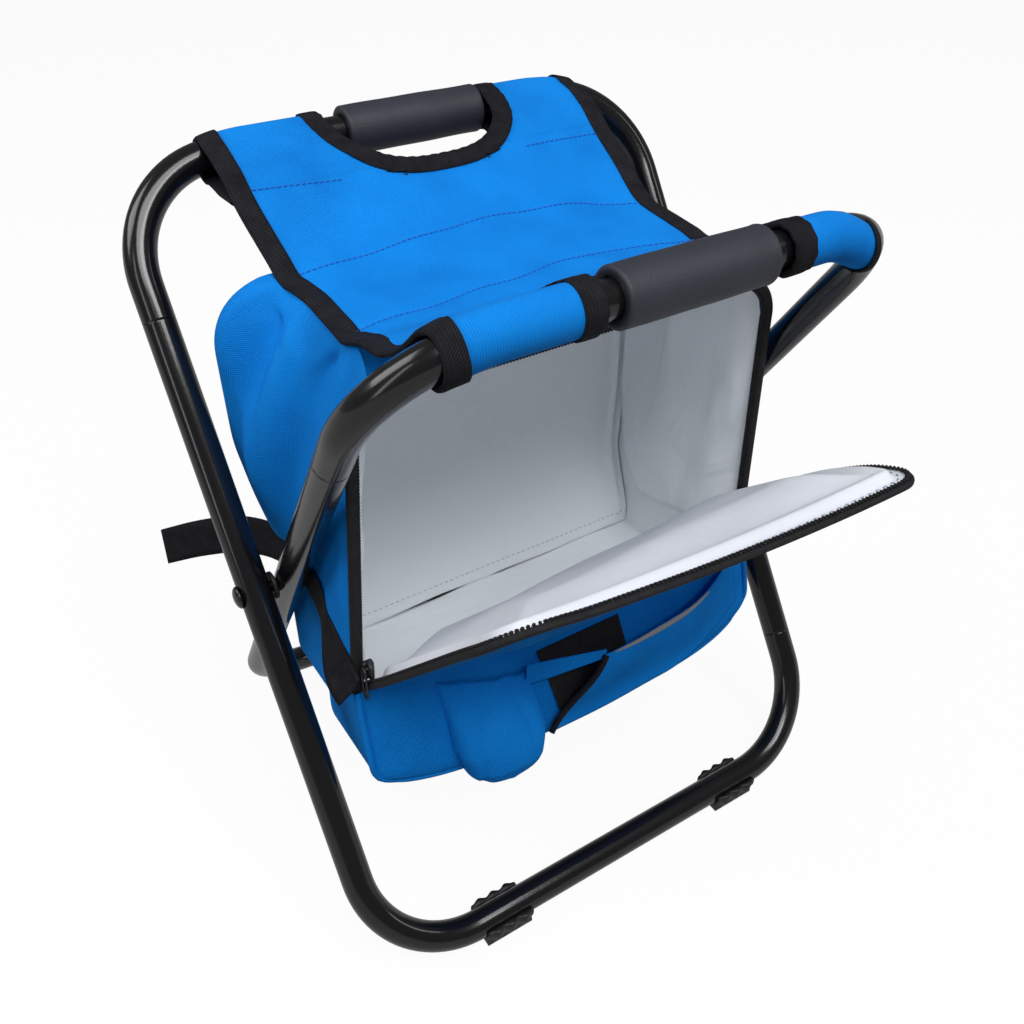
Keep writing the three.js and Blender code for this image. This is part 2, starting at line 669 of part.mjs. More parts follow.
// A slider rides on the front of the body's tape. Its two cheeks hold the pin of the pull.
const sliderX = doorHalf + 2 * FIT + SLIDER_WIDTH / 2;
const sliderBackY = BAG_FRONT_Y - 2 * FIT - ZIP_TAPE_THICKNESS;
const sliderFrontY = sliderBackY - SLIDER_THICKNESS;
const pullEye = PULL_PIN_D / 2 + FIT + PULL_THICKNESS / 2;
const pinY = sliderFrontY - pullEye - FIT;
const pinZ = DOOR_SILL + SLIDER_ABOVE_SILL + SLIDER_LENGTH - pullEye;

function slider(side) {
  const x = side * sliderX;
  const half = SLIDER_WIDTH / 2;
  const low = DOOR_SILL + SLIDER_ABOVE_SILL;
  const body = boxBetween([x - half, sliderFrontY, low], [x + half, sliderBackY, low + SLIDER_LENGTH]);
  const cheekIn = PULL_WIDTH / 2 + FIT;
  const cheeks = [-1, 1].map((hand) => boxBetween(
    [x + Math.min(hand * half, hand * cheekIn), pinY - pullEye, pinZ - pullEye],
    [x + Math.max(hand * half, hand * cheekIn), sliderFrontY + FIT, pinZ + pullEye]));
  const pin = solidOf(prismX(new THREE.Shape(circle(PULL_PIN_D / 2, 8, pinY, pinZ)), x - half, x + half));
  return geometryOf(body.add(cheeks[0]).add(cheeks[1]).add(pin));
}

function pull(side) {
  const x = side * sliderX;
  const half = PULL_WIDTH / 2;
  const eye = ringShape(pullEye, PULL_PIN_D / 2 + FIT, TUBE_SIDES, pinY, pinZ);
  const stemHalf = PULL_THICKNESS / 2;
  const stemTop = pinZ - PULL_PIN_D / 2 - FIT - PULL_THICKNESS / 4;
  const stem = new THREE.Shape(vectors([
    [pinY - stemHalf, pinZ - PULL_LENGTH],
    [pinY + stemHalf, pinZ - PULL_LENGTH],
    [pinY + stemHalf, stemTop],
    [pinY - stemHalf, stemTop],
  ]));
  return geometryOf(solidOf(prismX(eye, x - half, x + half)).add(solidOf(prismX(stem, x - half, x + half))));
}

// A strap is sewn to the bag beside the door's sill, runs back along the bag and ends in a loose
// tail that passes behind the outer leg.
const strapX = bagHalf + FIT;

function strapRun(side) {
  const half = STRAP_WIDTH / 2;
  const shape = new THREE.Shape(vectors([
    [BAG_FRONT_Y, STRAP_FRONT_Z - half],
    [STRAP_TURN_Y, STRAP_BACK_Z - half],
    [STRAP_TURN_Y, STRAP_BACK_Z + half],
    [BAG_FRONT_Y, STRAP_FRONT_Z + half],
  ]));
  const to = strapX + STRAP_THICKNESS;
  return side < 0 ? prismX(shape, -to, -strapX) : prismX(shape, strapX, to);
}

function strapTail(side) {
  const start = new THREE.Vector3(
    side * (strapX + 2 * STRAP_THICKNESS), STRAP_TURN_Y + STRAP_WIDTH / 5, STRAP_BACK_Z);
  const end = new THREE.Vector3(side * (outerX + TAIL_PAST_LEG), TAIL_END_Y, TAIL_END_Z);
  const along = end.clone().sub(start);
  const length = along.length();
  along.normalize();
  const across = new THREE.Vector3(0, 0, 1).cross(along).normalize();
  const up = along.clone().cross(across);
  const turn = new THREE.Matrix4().makeBasis(along, across, up);
  const middle = start.clone().add(end).multiplyScalar(0.5);
  const strip = new THREE.BoxGeometry(length, STRAP_THICKNESS, STRAP_WIDTH);
  return strip.applyMatrix4(turn).translate(middle.x, middle.y, middle.z);
}

// Finishes
function finish(color, roughness, metalness = 0) {
  return new THREE.MeshStandardMaterial({ color, roughness, metalness });
}

const blackPaint = finish(0x0b0b0d, 0.22, 0.4);
const zincSteel = finish(0x8d9094, 0.4, 0.9);
const gripFoam = finish(0x34343a, 0.85);
const blackPlastic = finish(0x141416, 0.5);
const blueCloth = finish(0x1466c4, 0.8);
const blackTape = finish(0x232124, 0.85);
const blackWebbing = finish(0x1b1a1c, 0.8);
const paleFoam = finish(0xe9e9e4, 0.9);
const whiteLining = finish(0xd5dae4, 0.35);
const zipBlack = finish(0x18171a, 0.6);
const greyTape = finish(0x9fa3a8, 0.4);

const stool = new THREE.Group();

function piece(name, geometry, material, parent = stool) {
  const mesh = new THREE.Mesh(geometry, material.clone());
  mesh.name = name;
  parent.add(mesh);
}

for (const [name, hoop] of [['outer', outerHoop], ['inner', innerHoop]]) {
  const seam = BEND_RADIUS + SEAM_FROM_BEND;
  piece(`${name}_upper_tube`, hoopTube(halfHoop(hoop, false), hoop.halfWidth), blackPaint);
  piece(`${name}_lower_tube`, hoopTube(halfHoop(hoop, true), -hoop.halfWidth), blackPaint);
  piece(`${name}_seam_sleeve_left`, seamSleeve(hoop, -hoop.halfWidth, hoop.length - seam), zincSteel);
  piece(`${name}_seam_sleeve_right`, seamSleeve(hoop, hoop.halfWidth, seam), zincSteel);
}

piece('rear_grip', grip(rearBarY), gripFoam);
piece('front_grip', grip(frontBarY), gripFoam);

const HANDS = [['left', -1], ['right', 1]];
for (const [hand, side] of HANDS) {
  piece(`pivot_rivet_${hand}`, rivet(side), zincSteel);
  piece(`pivot_washer_${hand}`, washer(side), blackPlastic);
  piece(`front_foot_${hand}`, foot(side, outerHoop), blackPlastic);
  piece(`rear_foot_${hand}`, foot(side, innerHoop), blackPlastic);
  piece(`sling_edge_binding_${hand}`, edgeBinding(side), blackTape);
  piece(`zip_slider_${hand}`, slider(side), zipBlack);
  piece(`zip_pull_${hand}`, pull(side), zipBlack);
  piece(`side_strap_${hand}`, strapRun(side), blackWebbing);
  piece(`strap_tail_${hand}`, strapTail(side), blackWebbing);
}

piece('seat_sling', sling(), blueCloth);
piece('rear_cutout_binding', cutoutBinding(rearBarY), blackTape);
piece('front_cutout_binding', cutoutBinding(frontBarY), blackTape);

piece('bag_cover', bagCover(), blueCloth);
for (const [name, board] of Object.entries(foamBoards)) {
  piece(name, geometryOf(board), paleFoam);
}
piece('bag_lining', bagLining(), whiteLining);
piece('front_panel_piping', piping(), blueCloth);
piece('bottle_pocket', pocket(bottleX, BOTTLE_WIDTH, BOTTLE_FRONT_Y, BOTTLE_BASE, BOTTLE_TOP), blueCloth);
piece('accessory_pocket',
  pocket(accessoryX, accessoryWidth, ACCESSORY_FRONT_Y, ACCESSORY_BASE, ACCESSORY_TOP), blueCloth);
piece('reflective_strip', reflectiveStrip(), greyTape);
piece('body_zip_tape', bodyTape(), zipBlack);

const door = new THREE.Group();
door.position.set(0, BAG_FRONT_Y, DOOR_SILL);
door.rotation.x = DOOR_OPEN;
stool.add(door);
piece('door_cover', doorLayer(ZIP_RIM + FIT, 0, COVER_THICKNESS), blueCloth, door);
piece('door_foam', doorLayer(FIT, foamOut, foamIn), paleFoam, door);
piece('door_lining', doorLayer(FIT, liningOut, wall), whiteLining, door);
piece('door_zip_tape', doorTape(), zipBlack, door);

// The origin is on the floor, under the middle of the stool's box.
const box = new THREE.Box3().setFromObject(stool);
const centre = box.getCenter(new THREE.Vector3());
stool.position.set(-centre.x, -centre.y, -box.min.z);

export default stool;
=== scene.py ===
import bmesh
import bpy
import numpy as np
from mathutils import Matrix, Vector


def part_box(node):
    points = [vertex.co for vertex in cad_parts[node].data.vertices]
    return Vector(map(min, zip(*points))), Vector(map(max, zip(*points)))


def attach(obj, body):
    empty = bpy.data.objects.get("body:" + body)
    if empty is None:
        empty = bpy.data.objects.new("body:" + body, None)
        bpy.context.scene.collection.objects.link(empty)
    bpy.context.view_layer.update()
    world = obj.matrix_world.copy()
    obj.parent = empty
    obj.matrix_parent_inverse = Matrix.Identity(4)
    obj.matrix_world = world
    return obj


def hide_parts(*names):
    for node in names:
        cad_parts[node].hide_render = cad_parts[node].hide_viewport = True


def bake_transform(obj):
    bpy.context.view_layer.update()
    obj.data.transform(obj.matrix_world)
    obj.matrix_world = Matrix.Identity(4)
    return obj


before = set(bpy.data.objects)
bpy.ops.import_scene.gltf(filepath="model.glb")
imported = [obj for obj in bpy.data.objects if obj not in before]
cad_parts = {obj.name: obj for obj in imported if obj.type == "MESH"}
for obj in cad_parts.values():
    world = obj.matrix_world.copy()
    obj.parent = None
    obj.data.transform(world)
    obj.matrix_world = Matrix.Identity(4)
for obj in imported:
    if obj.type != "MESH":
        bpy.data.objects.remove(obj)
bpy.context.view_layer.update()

# Viewpoint of the photograph: a short lens a little above the seat, looking down at the open
# door from its left. Lengths are in millimetres about the middle of the two top bars.
rear_bar = (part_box("rear_grip")[0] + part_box("rear_grip")[1]) / 2
front_bar = (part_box("front_grip")[0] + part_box("front_grip")[1]) / 2
MIDDLE = np.array([0.0, (rear_bar.y + front_bar.y) / 2, 0.0])


def placed(points):
    """Millimetres about the middle of the top bars, as metres in the stool's frame."""
    return np.asarray(points, float) * 0.001 + MIDDLE


FILM_WIDTH, FOCAL_PIXELS, PHOTO_PIXELS = 36.0, 1031.08, 1024.0
CAMERA_SPOT = (-283.19, -439.23, 591.33)
lens_axes = Matrix((
    (0.840772, 0.323842, -0.433853),
    (-0.541381, 0.507252, -0.670523),
    (0.002930, 0.798637, 0.601805),
))
camera_data = bpy.data.cameras.new("photo_camera")
camera_data.lens = FILM_WIDTH * FOCAL_PIXELS / PHOTO_PIXELS
camera_data.sensor_width = FILM_WIDTH
camera_data.clip_start = 0.01
camera = bpy.data.objects.new("photo_camera", camera_data)
bpy.context.collection.objects.link(camera)
camera.matrix_world = lens_axes.to_4x4()
camera.location = Vector(placed(CAMERA_SPOT))
bpy.context.scene.camera = camera
bpy.context.scene.view_settings.view_transform = "Standard"


# Studio: a sheet of white paper that keeps a soft shadow, under a white surround. Five soft boxes
# light the stool from above, from the front, from both sides and from behind on the left.
def new_material(name, inputs=None):
    """A node material, and its main shader with inputs set."""
    made = bpy.data.materials.new(name)
    made.use_nodes = True
    shader = made.node_tree.nodes["Principled BSDF"]
    for key, value in (inputs or {}).items():
        shader.inputs[key].default_value = value
    return made, shader


def add_node(tree, kind, inputs=None, **settings):
    """A shader node with its settings, and inputs given as values or as sockets to link."""
    made = tree.nodes.new("ShaderNode" + kind)
    for key, value in settings.items():
        setattr(made, key, value)
    for key, value in (inputs or {}).items():
        if isinstance(value, bpy.types.NodeSocket):
            tree.links.new(value, made.inputs[key])
        else:
            made.inputs[key].default_value = value
    return made


def worked(node, operation, *values):
    """The result of a sum of values or sockets, in the tree of a node."""
    return add_node(node.id_data, "Math", dict(enumerate(values)), operation=operation).outputs[0]


def ranged(node, value, low, high):
    """A share carried to a range, in the tree of a node."""
    made = add_node(node.id_data, "MapRange", {"Value": value, "To Min": low, "To Max": high})
    return made.outputs[0]


WHITE = (1.0, 1.0, 1.0, 1.0)
AMBIENT, AMBIENT_SHINE = 0.31, -0.18
world = bpy.data.worlds.new("studio")
bpy.context.scene.world = world
world.use_nodes = True
surround = world.node_tree.nodes["Background"]
surround.inputs["Color"].default_value = WHITE
seen = add_node(world.node_tree, "LightPath").outputs
straight = worked(surround, "MAXIMUM", seen["Is Camera Ray"], seen["Is Transmission Ray"])
mirror = worked(surround, "MULTIPLY", seen["Is Glossy Ray"], AMBIENT_SHINE)
total = worked(surround, "ADD", ranged(surround, straight, AMBIENT, 1.0), mirror)
world.node_tree.links.new(total, surround.inputs["Strength"])

FLOOR_HALF, PAPER_DIM, PAPER_PALE, PAPER_SHARE, PAPER_SHINE = 6.0, 0.14, 0.95, 0.94, 0.45
floor_mesh = bpy.data.meshes.new("floor")
floor_mesh.from_pydata(
    [(-FLOOR_HALF, -FLOOR_HALF, 0), (FLOOR_HALF, -FLOOR_HALF, 0),
     (FLOOR_HALF, FLOOR_HALF, 0), (-FLOOR_HALF, FLOOR_HALF, 0)], [], [(0, 1, 2, 3)])
floor = bpy.data.objects.new("floor", floor_mesh)
bpy.context.collection.objects.link(floor)
paper, paper_shader = new_material("white_paper", {"Roughness": 1.0, "Specular IOR Level": 0.0})
paper_tree = paper.node_tree
paper_ray = add_node(paper_tree, "LightPath").outputs
paper_tone = ranged(paper_shader, paper_ray["Is Camera Ray"], PAPER_DIM, PAPER_PALE)
paper_tree.links.new(paper_tone, paper_shader.inputs["Base Color"])
paper_share = worked(paper_shader, "MULTIPLY", paper_ray["Is Camera Ray"], PAPER_SHARE)
paper_glow = add_node(paper_tree, "Emission", {"Color": WHITE, "Strength": 1.0})
paper_mix = add_node(paper_tree, "MixShader", {
    0: paper_share, 1: paper_shader.outputs[0], 2: paper_glow.outputs[0]})
paper_shine = add_node(paper_tree, "Emission", {"Color": WHITE, "Strength": PAPER_SHINE})
paper_seen = add_node(paper_tree, "MixShader", {
    0: paper_ray["Is Glossy Ray"], 1: paper_mix.outputs[0], 2: paper_shine.outputs[0]})
paper_tree.links.new(paper_seen.outputs[0], paper_tree.nodes["Material Output"].inputs["Surface"])
floor_mesh.materials.append(paper)


def soft_box(name, spot, aim, width, height, watts):
    """A rectangular lamp at a spot, turned to face an aim point."""
    lamp = bpy.data.lights.new(name, "AREA")
    lamp.shape = "RECTANGLE"
    lamp.size, lamp.size_y, lamp.energy = width, height, watts
    holder = bpy.data.objects.new(name, lamp)
    bpy.context.collection.objects.link(holder)
    holder.location = spot
    holder.rotation_euler = (Vector(aim) - Vector(spot)).to_track_quat("-Z", "Y").to_euler()


soft_box("top_box", (-0.15, -0.90, 2.0), (0.0, 0.0, 0.25), 1.5, 1.1, 25.5)
soft_box("front_box", (0.15, -1.45, 1.95), (0.0, 0.0, 0.2), 0.9, 0.5, 6.0)
soft_box("left_box", (-1.8, -0.5, 1.1), (0.0, 0.0, 0.25), 0.25, 1.4, 3.0)
soft_box("right_box", (1.7, -0.9, 1.0), (0.0, 0.0, 0.25), 0.25, 1.3, 3.0)
soft_box("rear_left_box", (-1.05, 0.58, 1.28), (-0.1, -0.1, 0.38), 0.8, 0.8, 7.0)


# Frame: two hoops of 18 mm steel tube, each bent from an upper and a lower half that meet at a
# seam on either leg. The tube is painted gloss black over a faintly uneven skin.
def quads(rows, columns):
    """Corner numbers of the faces between neighbours of a grid stored row by row."""
    i, j = np.meshgrid(np.arange(rows - 1), np.arange(columns - 1), indexing="ij")
    start = i * columns + j
    return np.stack([start, start + columns, start + columns + 1, start + 1], -1).reshape(-1, 4)


def lengths(points):
    """Distance run along each line of a grid's second axis, in millimetres."""
    steps = np.linalg.norm(np.diff(points, axis=1), axis=2)
    return np.concatenate([np.zeros((len(points), 1)), np.cumsum(steps, axis=1)], axis=1)


WELD, SLIVER = 2e-6, 1e-7


def build(name, grids, finish, thickness=0.0, outwards=True):
    """One object from grids of points in millimetres. Edges that meet are sewn together, and
    the UV map holds metres of cloth: across a grid, then along it."""
    points, faces, uv, first = [], [], [], 0
    for grid in grids:
        rows, columns = grid.shape[:2]
        across = lengths(grid)
        along = lengths(grid.swapaxes(0, 1)).T
        across = across - across.mean(axis=1, keepdims=True)
        uv.append(np.stack([across, along], -1).reshape(-1, 2) * 0.001)
        points.append(placed(grid).reshape(-1, 3))
        faces.append(quads(rows, columns) + first)
        first += rows * columns
    points, faces, uv = np.concatenate(points), np.concatenate(faces), np.concatenate(uv)
    mesh = bpy.data.meshes.new(name)
    mesh.from_pydata(points.tolist(), [], faces.tolist())
    corner = np.empty(len(mesh.loops), np.int32)
    mesh.loops.foreach_get("vertex_index", corner)
    mesh.uv_layers.new(name="UVMap").data.foreach_set("uv", uv[corner].ravel())
    shell = bmesh.new()
    shell.from_mesh(mesh)
    bmesh.ops.remove_doubles(shell, verts=shell.verts, dist=WELD)
    bmesh.ops.dissolve_degenerate(shell, edges=shell.edges, dist=SLIVER)
    if outwards:
        bmesh.ops.recalc_face_normals(shell, faces=shell.faces)
    shell.to_mesh(mesh)
    shell.free()
    mesh.polygons.foreach_set("use_smooth", np.ones(len(mesh.polygons), bool))
    mesh.materials.append(finish)
    made = bpy.data.objects.new(name, mesh)
    bpy.context.collection.objects.link(made)
    if thickness:
        wall = made.modifiers.new("cloth_thickness", "SOLIDIFY")
        wall.thickness, wall.offset = thickness * 0.001, 0.0
    return made


def unit(vectors):
    """Vectors of length one."""
    return vectors / np.maximum(np.linalg.norm(vectors, axis=-1, keepdims=True), 1e-9)


def swept(path, across, radius, sides):
    """A round bar: circles of the given radii, each square to the path, with one axis fixed."""
    path, radius = np.asarray(path, float), np.asarray(radius, float)
    tangent = unit(np.gradient(path, axis=0))
    across = unit(across - (tangent @ across)[:, None] * tangent)
    turn = np.linspace(0, 2 * np.pi, sides + 1)
    side = np.cross(tangent, across)
    ring = np.cos(turn)[None, :, None] * across[:, None] + np.sin(turn)[None, :, None] * side[:, None]
    return path[:, None] + radius[:, None, None] * ring


SEAT_Z, BASE_Z, BAR_Y, FOOT_Y = 406.0, 12.3, 132.0, 134.0
OUTER_X, INNER_X, TUBE_R, BEND_R, SEAM_RUN, SEAM_GAP = 169.0, 148.0, 9.0, 61.0, 20.0, 0.15
RIGHTWARDS = np.array([1.0, 0.0, 0.0])


def on_object(shader):
    """Place on the object, for the textures of a shader."""
    return add_node(shader.id_data, "TexCoord").outputs["Object"]


def noise(shader, scale, detail, distortion=0.0, at=None):
    """Strength of a cloudy noise over the object."""
    at = on_object(shader) if at is None else at
    made = add_node(shader.id_data, "TexNoise", {
        "Vector": at, "Scale": scale, "Detail": detail, "Distortion": distortion})
    return made.outputs["Fac"]


def tint(shader, value, dark, pale, start=0.0, end=1.0):
    """Base colour from a dark to a pale tone, as a value goes from start to end."""
    ramp = add_node(shader.id_data, "ValToRGB", {"Fac": value})
    for stop, place, tone in zip(ramp.color_ramp.elements, (start, end), (dark, pale)):
        stop.position = place
        stop.color = (*tone, 1)
    shader.id_data.links.new(ramp.outputs["Color"], shader.inputs["Base Color"])


def roughen(shader, value, low, high):
    """Roughness between two levels, by a value."""
    shader.id_data.links.new(ranged(shader, value, low, high), shader.inputs["Roughness"])


def emboss(shader, height, strength, distance):
    """Fine relief, by a height."""
    bump = add_node(shader.id_data, "Bump", {
        "Height": height, "Strength": strength, "Distance": distance})
    shader.id_data.links.new(bump.outputs[0], shader.inputs["Normal"])


def fitted(piece, body, slot, *nodes):
    """Rides on a body and stands for solids of the frame. The slot is not used."""
    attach(piece, body)
    if nodes:
        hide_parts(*nodes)


black_paint, paint = new_material("gloss_black_paint", {
    "Specular IOR Level": 0.5, "Coat Weight": 0.35, "Coat Roughness": 0.05})
paint_cloud = noise(paint, 9.0, 4.0)
tint(paint, paint_cloud, (0.0035, 0.0035, 0.0042), (0.0075, 0.0075, 0.009))
roughen(paint, paint_cloud, 0.14, 0.24)
paint_skin = noise(paint, 260.0, 2.0)
emboss(paint, paint_skin, 0.06, 0.0004)


def hoop(bottom_y, top_y):
    """The direction up a hoop's legs, and the leg's length from bottom bar to top bar."""
    rise = np.array([0.0, top_y - bottom_y, SEAT_Z - BASE_Z])
    return rise / np.linalg.norm(rise), np.linalg.norm(rise)


def half_hoop(half_width, bottom_y, top_y, turned):
    """Axis of half a hoop: up from a seam on one leg, round two quarter bends, and down the
    other leg to its seam. A turned half runs the other way up."""
    up, far = hoop(bottom_y, top_y)
    high, side = far - BEND_R, half_width - BEND_R
    bend = np.linspace(0, np.pi / 2, 25)
    leg_start = np.linspace(high - SEAM_RUN + SEAM_GAP, high, 4)
    leg_end = np.linspace(high, BEND_R + SEAM_RUN + SEAM_GAP, 30)
    bar = np.linspace(-side, side, 20)
    x = np.concatenate([
        np.full(4, -half_width), -side - BEND_R * np.cos(bend[1:]), bar[1:],
        side + BEND_R * np.sin(bend[1:]), np.full(29, half_width)])
    s = np.concatenate([
        leg_start, high + BEND_R * np.sin(bend[1:]), np.full(19, far),
        high + BEND_R * np.cos(bend[1:]), leg_end[1:]])
    if turned:
        x, s = -x, far - s
    base = np.array([0.0, bottom_y, BASE_Z])
    return base + x[:, None] * RIGHTWARDS + s[:, None] * up


def hoop_tube(name, half_width, bottom_y, top_y, turned, body):
    """Half a hoop as a piece on its body."""
    path = half_hoop(half_width, bottom_y, top_y, turned)
    up = hoop(bottom_y, top_y)[0]
    ends = np.array([-0.1, -0.05, 0.15, 0.8])
    into, out = unit(path[1] - path[0]), unit(path[-2] - path[-1])
    line = np.concatenate([path[0] + ends[:, None] * into, path[1:-1], path[-1] + ends[::-1, None] * out])
    radius = np.full(len(line), TUBE_R)
    radius[[0, -1]], radius[[1, -2]] = 0.01, TUBE_R - 0.2
    made = build(name, [swept(line, np.cross(RIGHTWARDS, up), radius, 32)], black_paint)
    fitted(made, body, "frame_paint", name.replace("painted_", ""))


for hoop_name, half_width, bottom_y, top_y in (
        ("outer", OUTER_X, -FOOT_Y, BAR_Y), ("inner", INNER_X, FOOT_Y, -BAR_Y)):
    for half, turned in (("upper", False), ("lower", True)):
        name = f"painted_{hoop_name}_{half}_tube"
        hoop_tube(name, half_width, bottom_y, top_y, turned, f"{hoop_name}_frame")

# Seam sleeves: short zinc-plated tubes pressed inside the legs where the hoop halves meet.
# They hide in the tube, so they keep their solids and get the plating only.
zinc, zinc_shader = new_material("dull_zinc", {"Metallic": 1.0})
zinc_spangle = noise(zinc_shader, 180.0, 3.0)
tint(zinc_shader, zinc_spangle, (0.20, 0.20, 0.21), (0.36, 0.36, 0.38))
roughen(zinc_shader, zinc_spangle, 0.25, 0.45)
SIDES = (("left", -1.0), ("right", 1.0))
for hoop_name in ("outer", "inner"):
    for hand, _ in SIDES:
        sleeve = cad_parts[f"{hoop_name}_seam_sleeve_{hand}"]
        sleeve.data.materials.clear()
        sleeve.data.materials.append(zinc)

# Pivot: a domed rivet through both legs on either side, black like the tube, and a moulded
# washer that keeps the legs apart.
black_plastic, plastic = new_material("black_moulding", {"Specular IOR Level": 0.4})
plastic_grain = noise(plastic, 420.0, 3.0)
tint(plastic, plastic_grain, (0.006, 0.006, 0.007), (0.020, 0.020, 0.022))
roughen(plastic, plastic_grain, 0.38, 0.6)
emboss(plastic, plastic_grain, 0.15, 0.0003)

PIVOT_Z = (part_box("pivot_rivet_left")[0].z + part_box("pivot_rivet_left")[1].z) * 500.0
RIVET_OUT, RIVET_R, RIVET_DOME, SHANK_R = 178.3, 6.5, 3.0, 3.0
RIVET_TAIL = [
    (136.7, 0.0), (136.7, 5.6), (137.0, 6.3), (138.6, RIVET_R), (138.7, SHANK_R), (178.2, SHANK_R),
    (178.25, 6.3)]
WASHER_RING = np.array([
    (157.4, 3.4), (157.4, 7.4), (157.8, 8.0), (159.3, 8.0), (159.7, 7.4), (159.7, 3.4), (157.4, 3.4)])
dome = np.linspace(0, np.pi / 2, 9)
rivet_head = np.stack([RIVET_OUT + RIVET_DOME * np.sin(dome), RIVET_R * np.cos(dome)], -1)
rivet_line = np.concatenate([RIVET_TAIL, rivet_head])


def turned_on_x(profile, y, z, sides):
    """A profile of (x, radius) pairs turned about the line along X through (y, z)."""
    profile = np.asarray(profile, float)
    turn = np.linspace(0, 2 * np.pi, sides + 1)
    x = np.repeat(profile[:, :1], sides + 1, axis=1)
    return np.stack([x, y + profile[:, 1:] * np.cos(turn), z + profile[:, 1:] * np.sin(turn)], -1)


for hand, side in SIDES:
    shank = turned_on_x(rivet_line * [side, 1.0], 0.0, PIVOT_Z, 36)
    rivet = build(f"domed_rivet_{hand}", [shank], black_paint)
    fitted(rivet, "outer_frame", "zinc_steel", f"pivot_rivet_{hand}")
    disc = turned_on_x(WASHER_RING * [side, 1.0], 0.0, PIVOT_Z, 36)
    washer = build(f"moulded_washer_{hand}", [disc], black_plastic)
    fitted(washer, "outer_frame", "black_plastic", f"pivot_washer_{hand}")

# Grips: dark closed-cell foam sleeves pushed over the middle of each top bar, with flat cut
# ends that show the bore round the tube.
foam, foam_shader = new_material("dark_grip_foam", {"Roughness": 0.56})
foam_cells = add_node(foam_shader.id_data, "TexVoronoi", {
    "Vector": on_object(foam_shader), "Scale": 900.0})
foam_cloud = noise(foam_shader, 45.0, 5.0)
tint(foam_shader, foam_cloud, (0.019, 0.0215, 0.031), (0.033, 0.037, 0.053))
emboss(foam_shader, foam_cells.outputs["Distance"], 0.25, 0.0004)

GRIP_R, GRIP_BORE, GRIP_ROUND, GRIP_WAVE = 14.0, 9.4, 1.6, 0.22
grip_edge = np.linspace(0, np.pi / 2, 6)
curve, drop = GRIP_ROUND * (1 - np.cos(grip_edge)), GRIP_ROUND * (1 - np.sin(grip_edge))
for place, bar_y, body, x_from, x_to in (
        ("rear", BAR_Y, "outer_frame", -33.0, 57.0), ("front", -BAR_Y, "inner_frame", -36.0, 48.0)):
    start = np.stack([x_from + curve, GRIP_R - drop], -1)
    end = np.stack([x_to - drop, GRIP_R - curve], -1)
    span = np.linspace(x_from + 3.0, x_to - 3.0, 30)
    body_line = np.stack([span, GRIP_R + GRIP_WAVE * np.sin(span / 9.0) * np.sin(span / 31.0)], -1)
    bore = [(x_to, GRIP_BORE), (x_from, GRIP_BORE), (x_from, GRIP_R - GRIP_ROUND)]
    loop = np.concatenate([start, body_line, end, bore])
    grip = build(f"foam_{place}_grip", [turned_on_x(loop, bar_y, SEAT_Z, 56)], foam)
    fitted(grip, body, "grip_foam", f"{place}_grip")

# Feet: black clips moulded to snap on the bottom bars from below, with three rounded ribs that
# stand proud along either side and a flat sole.
FOOT_LENGTH, FOOT_WALL, RIB_PITCH, RIB_HIGH, SOLE_HALF = 32.0, 2.2, 9.6, 1.7, 9.5
FOOT_ROWS, FOOT_TURNS, FOOT_CLEAR = 65, 41, 0.3
foot_run = np.linspace(0.0, 1.0, FOOT_ROWS)
foot_ends = np.clip(np.minimum(foot_run, 1 - foot_run) * 14.0, 0, 1) ** 0.5
rib = (0.5 + 0.5 * np.cos(2 * np.pi * (FOOT_LENGTH * (foot_run - 0.5)) / RIB_PITCH)) * foot_ends
foot_turn = np.linspace(np.radians(14), np.radians(-194), FOOT_TURNS)
under = np.clip((-np.sin(foot_turn) - 0.55) / 0.4, 0, 1)
wall_out = TUBE_R + FOOT_WALL + foot_ends[:, None] * 0.6 + RIB_HIGH * rib[:, None] * (1 - under[None, :])
foot_z = wall_out * np.sin(foot_turn)[None, :]
foot_y = wall_out * np.cos(foot_turn)[None, :]
foot_z = np.where(foot_turn[None, :] < 0, np.maximum(foot_z, -BASE_Z), foot_z)
sole = under[None, :] > 0.2
foot_z = np.where(sole, -BASE_Z, foot_z)
foot_y = np.where(sole, np.clip(foot_y * 1.25, -SOLE_HALF, SOLE_HALF), foot_y)
back_turn = foot_turn[::-1]
foot_bore = np.stack([np.cos(back_turn), np.sin(back_turn)], -1) * (TUBE_R + FOOT_CLEAR)
foot_y = np.concatenate([foot_y, np.repeat(foot_bore[None, :, 0], FOOT_ROWS, 0), foot_y[:, :1]], 1)
foot_z = np.concatenate([foot_z, np.repeat(foot_bore[None, :, 1], FOOT_ROWS, 0), foot_z[:, :1]], 1)
inside = slice(2 * FOOT_TURNS - 1, FOOT_TURNS - 1, -1)
for place, bar_y, half_width, body in (
        ("front", -FOOT_Y, OUTER_X, "outer_frame"), ("rear", FOOT_Y, INNER_X, "inner_frame")):
    for hand, side in SIDES:
        x = side * (half_width - BEND_R - FOOT_CLEAR - FOOT_LENGTH * foot_run)
        x = np.repeat(x[:, None], foot_y.shape[1], 1)
        grid = np.stack([x, bar_y + foot_y, BASE_Z + foot_z], -1)
        caps = [np.stack([row[:FOOT_TURNS], row[inside]]) for row in grid[[0, -1]]]
        foot = build(f"ribbed_{place}_foot_{hand}", [grid, *caps], black_plastic)
        fitted(foot, body, "black_plastic", f"{place}_foot_{hand}")


# Sling: one width of blue woven polyester, folded round both top bars and stitched back on
# itself, with a half-round hand cut-out at each bar.
def ribs(shader, scale, direction):
    """Strength of fine ribs across or along the cloth, by its UV map."""
    cloth = add_node(shader.id_data, "UVMap", uv_map="UVMap").outputs[0]
    made = add_node(
        shader.id_data, "TexWave", {"Vector": cloth, "Scale": scale}, bands_direction=direction)
    return made.outputs["Fac"]


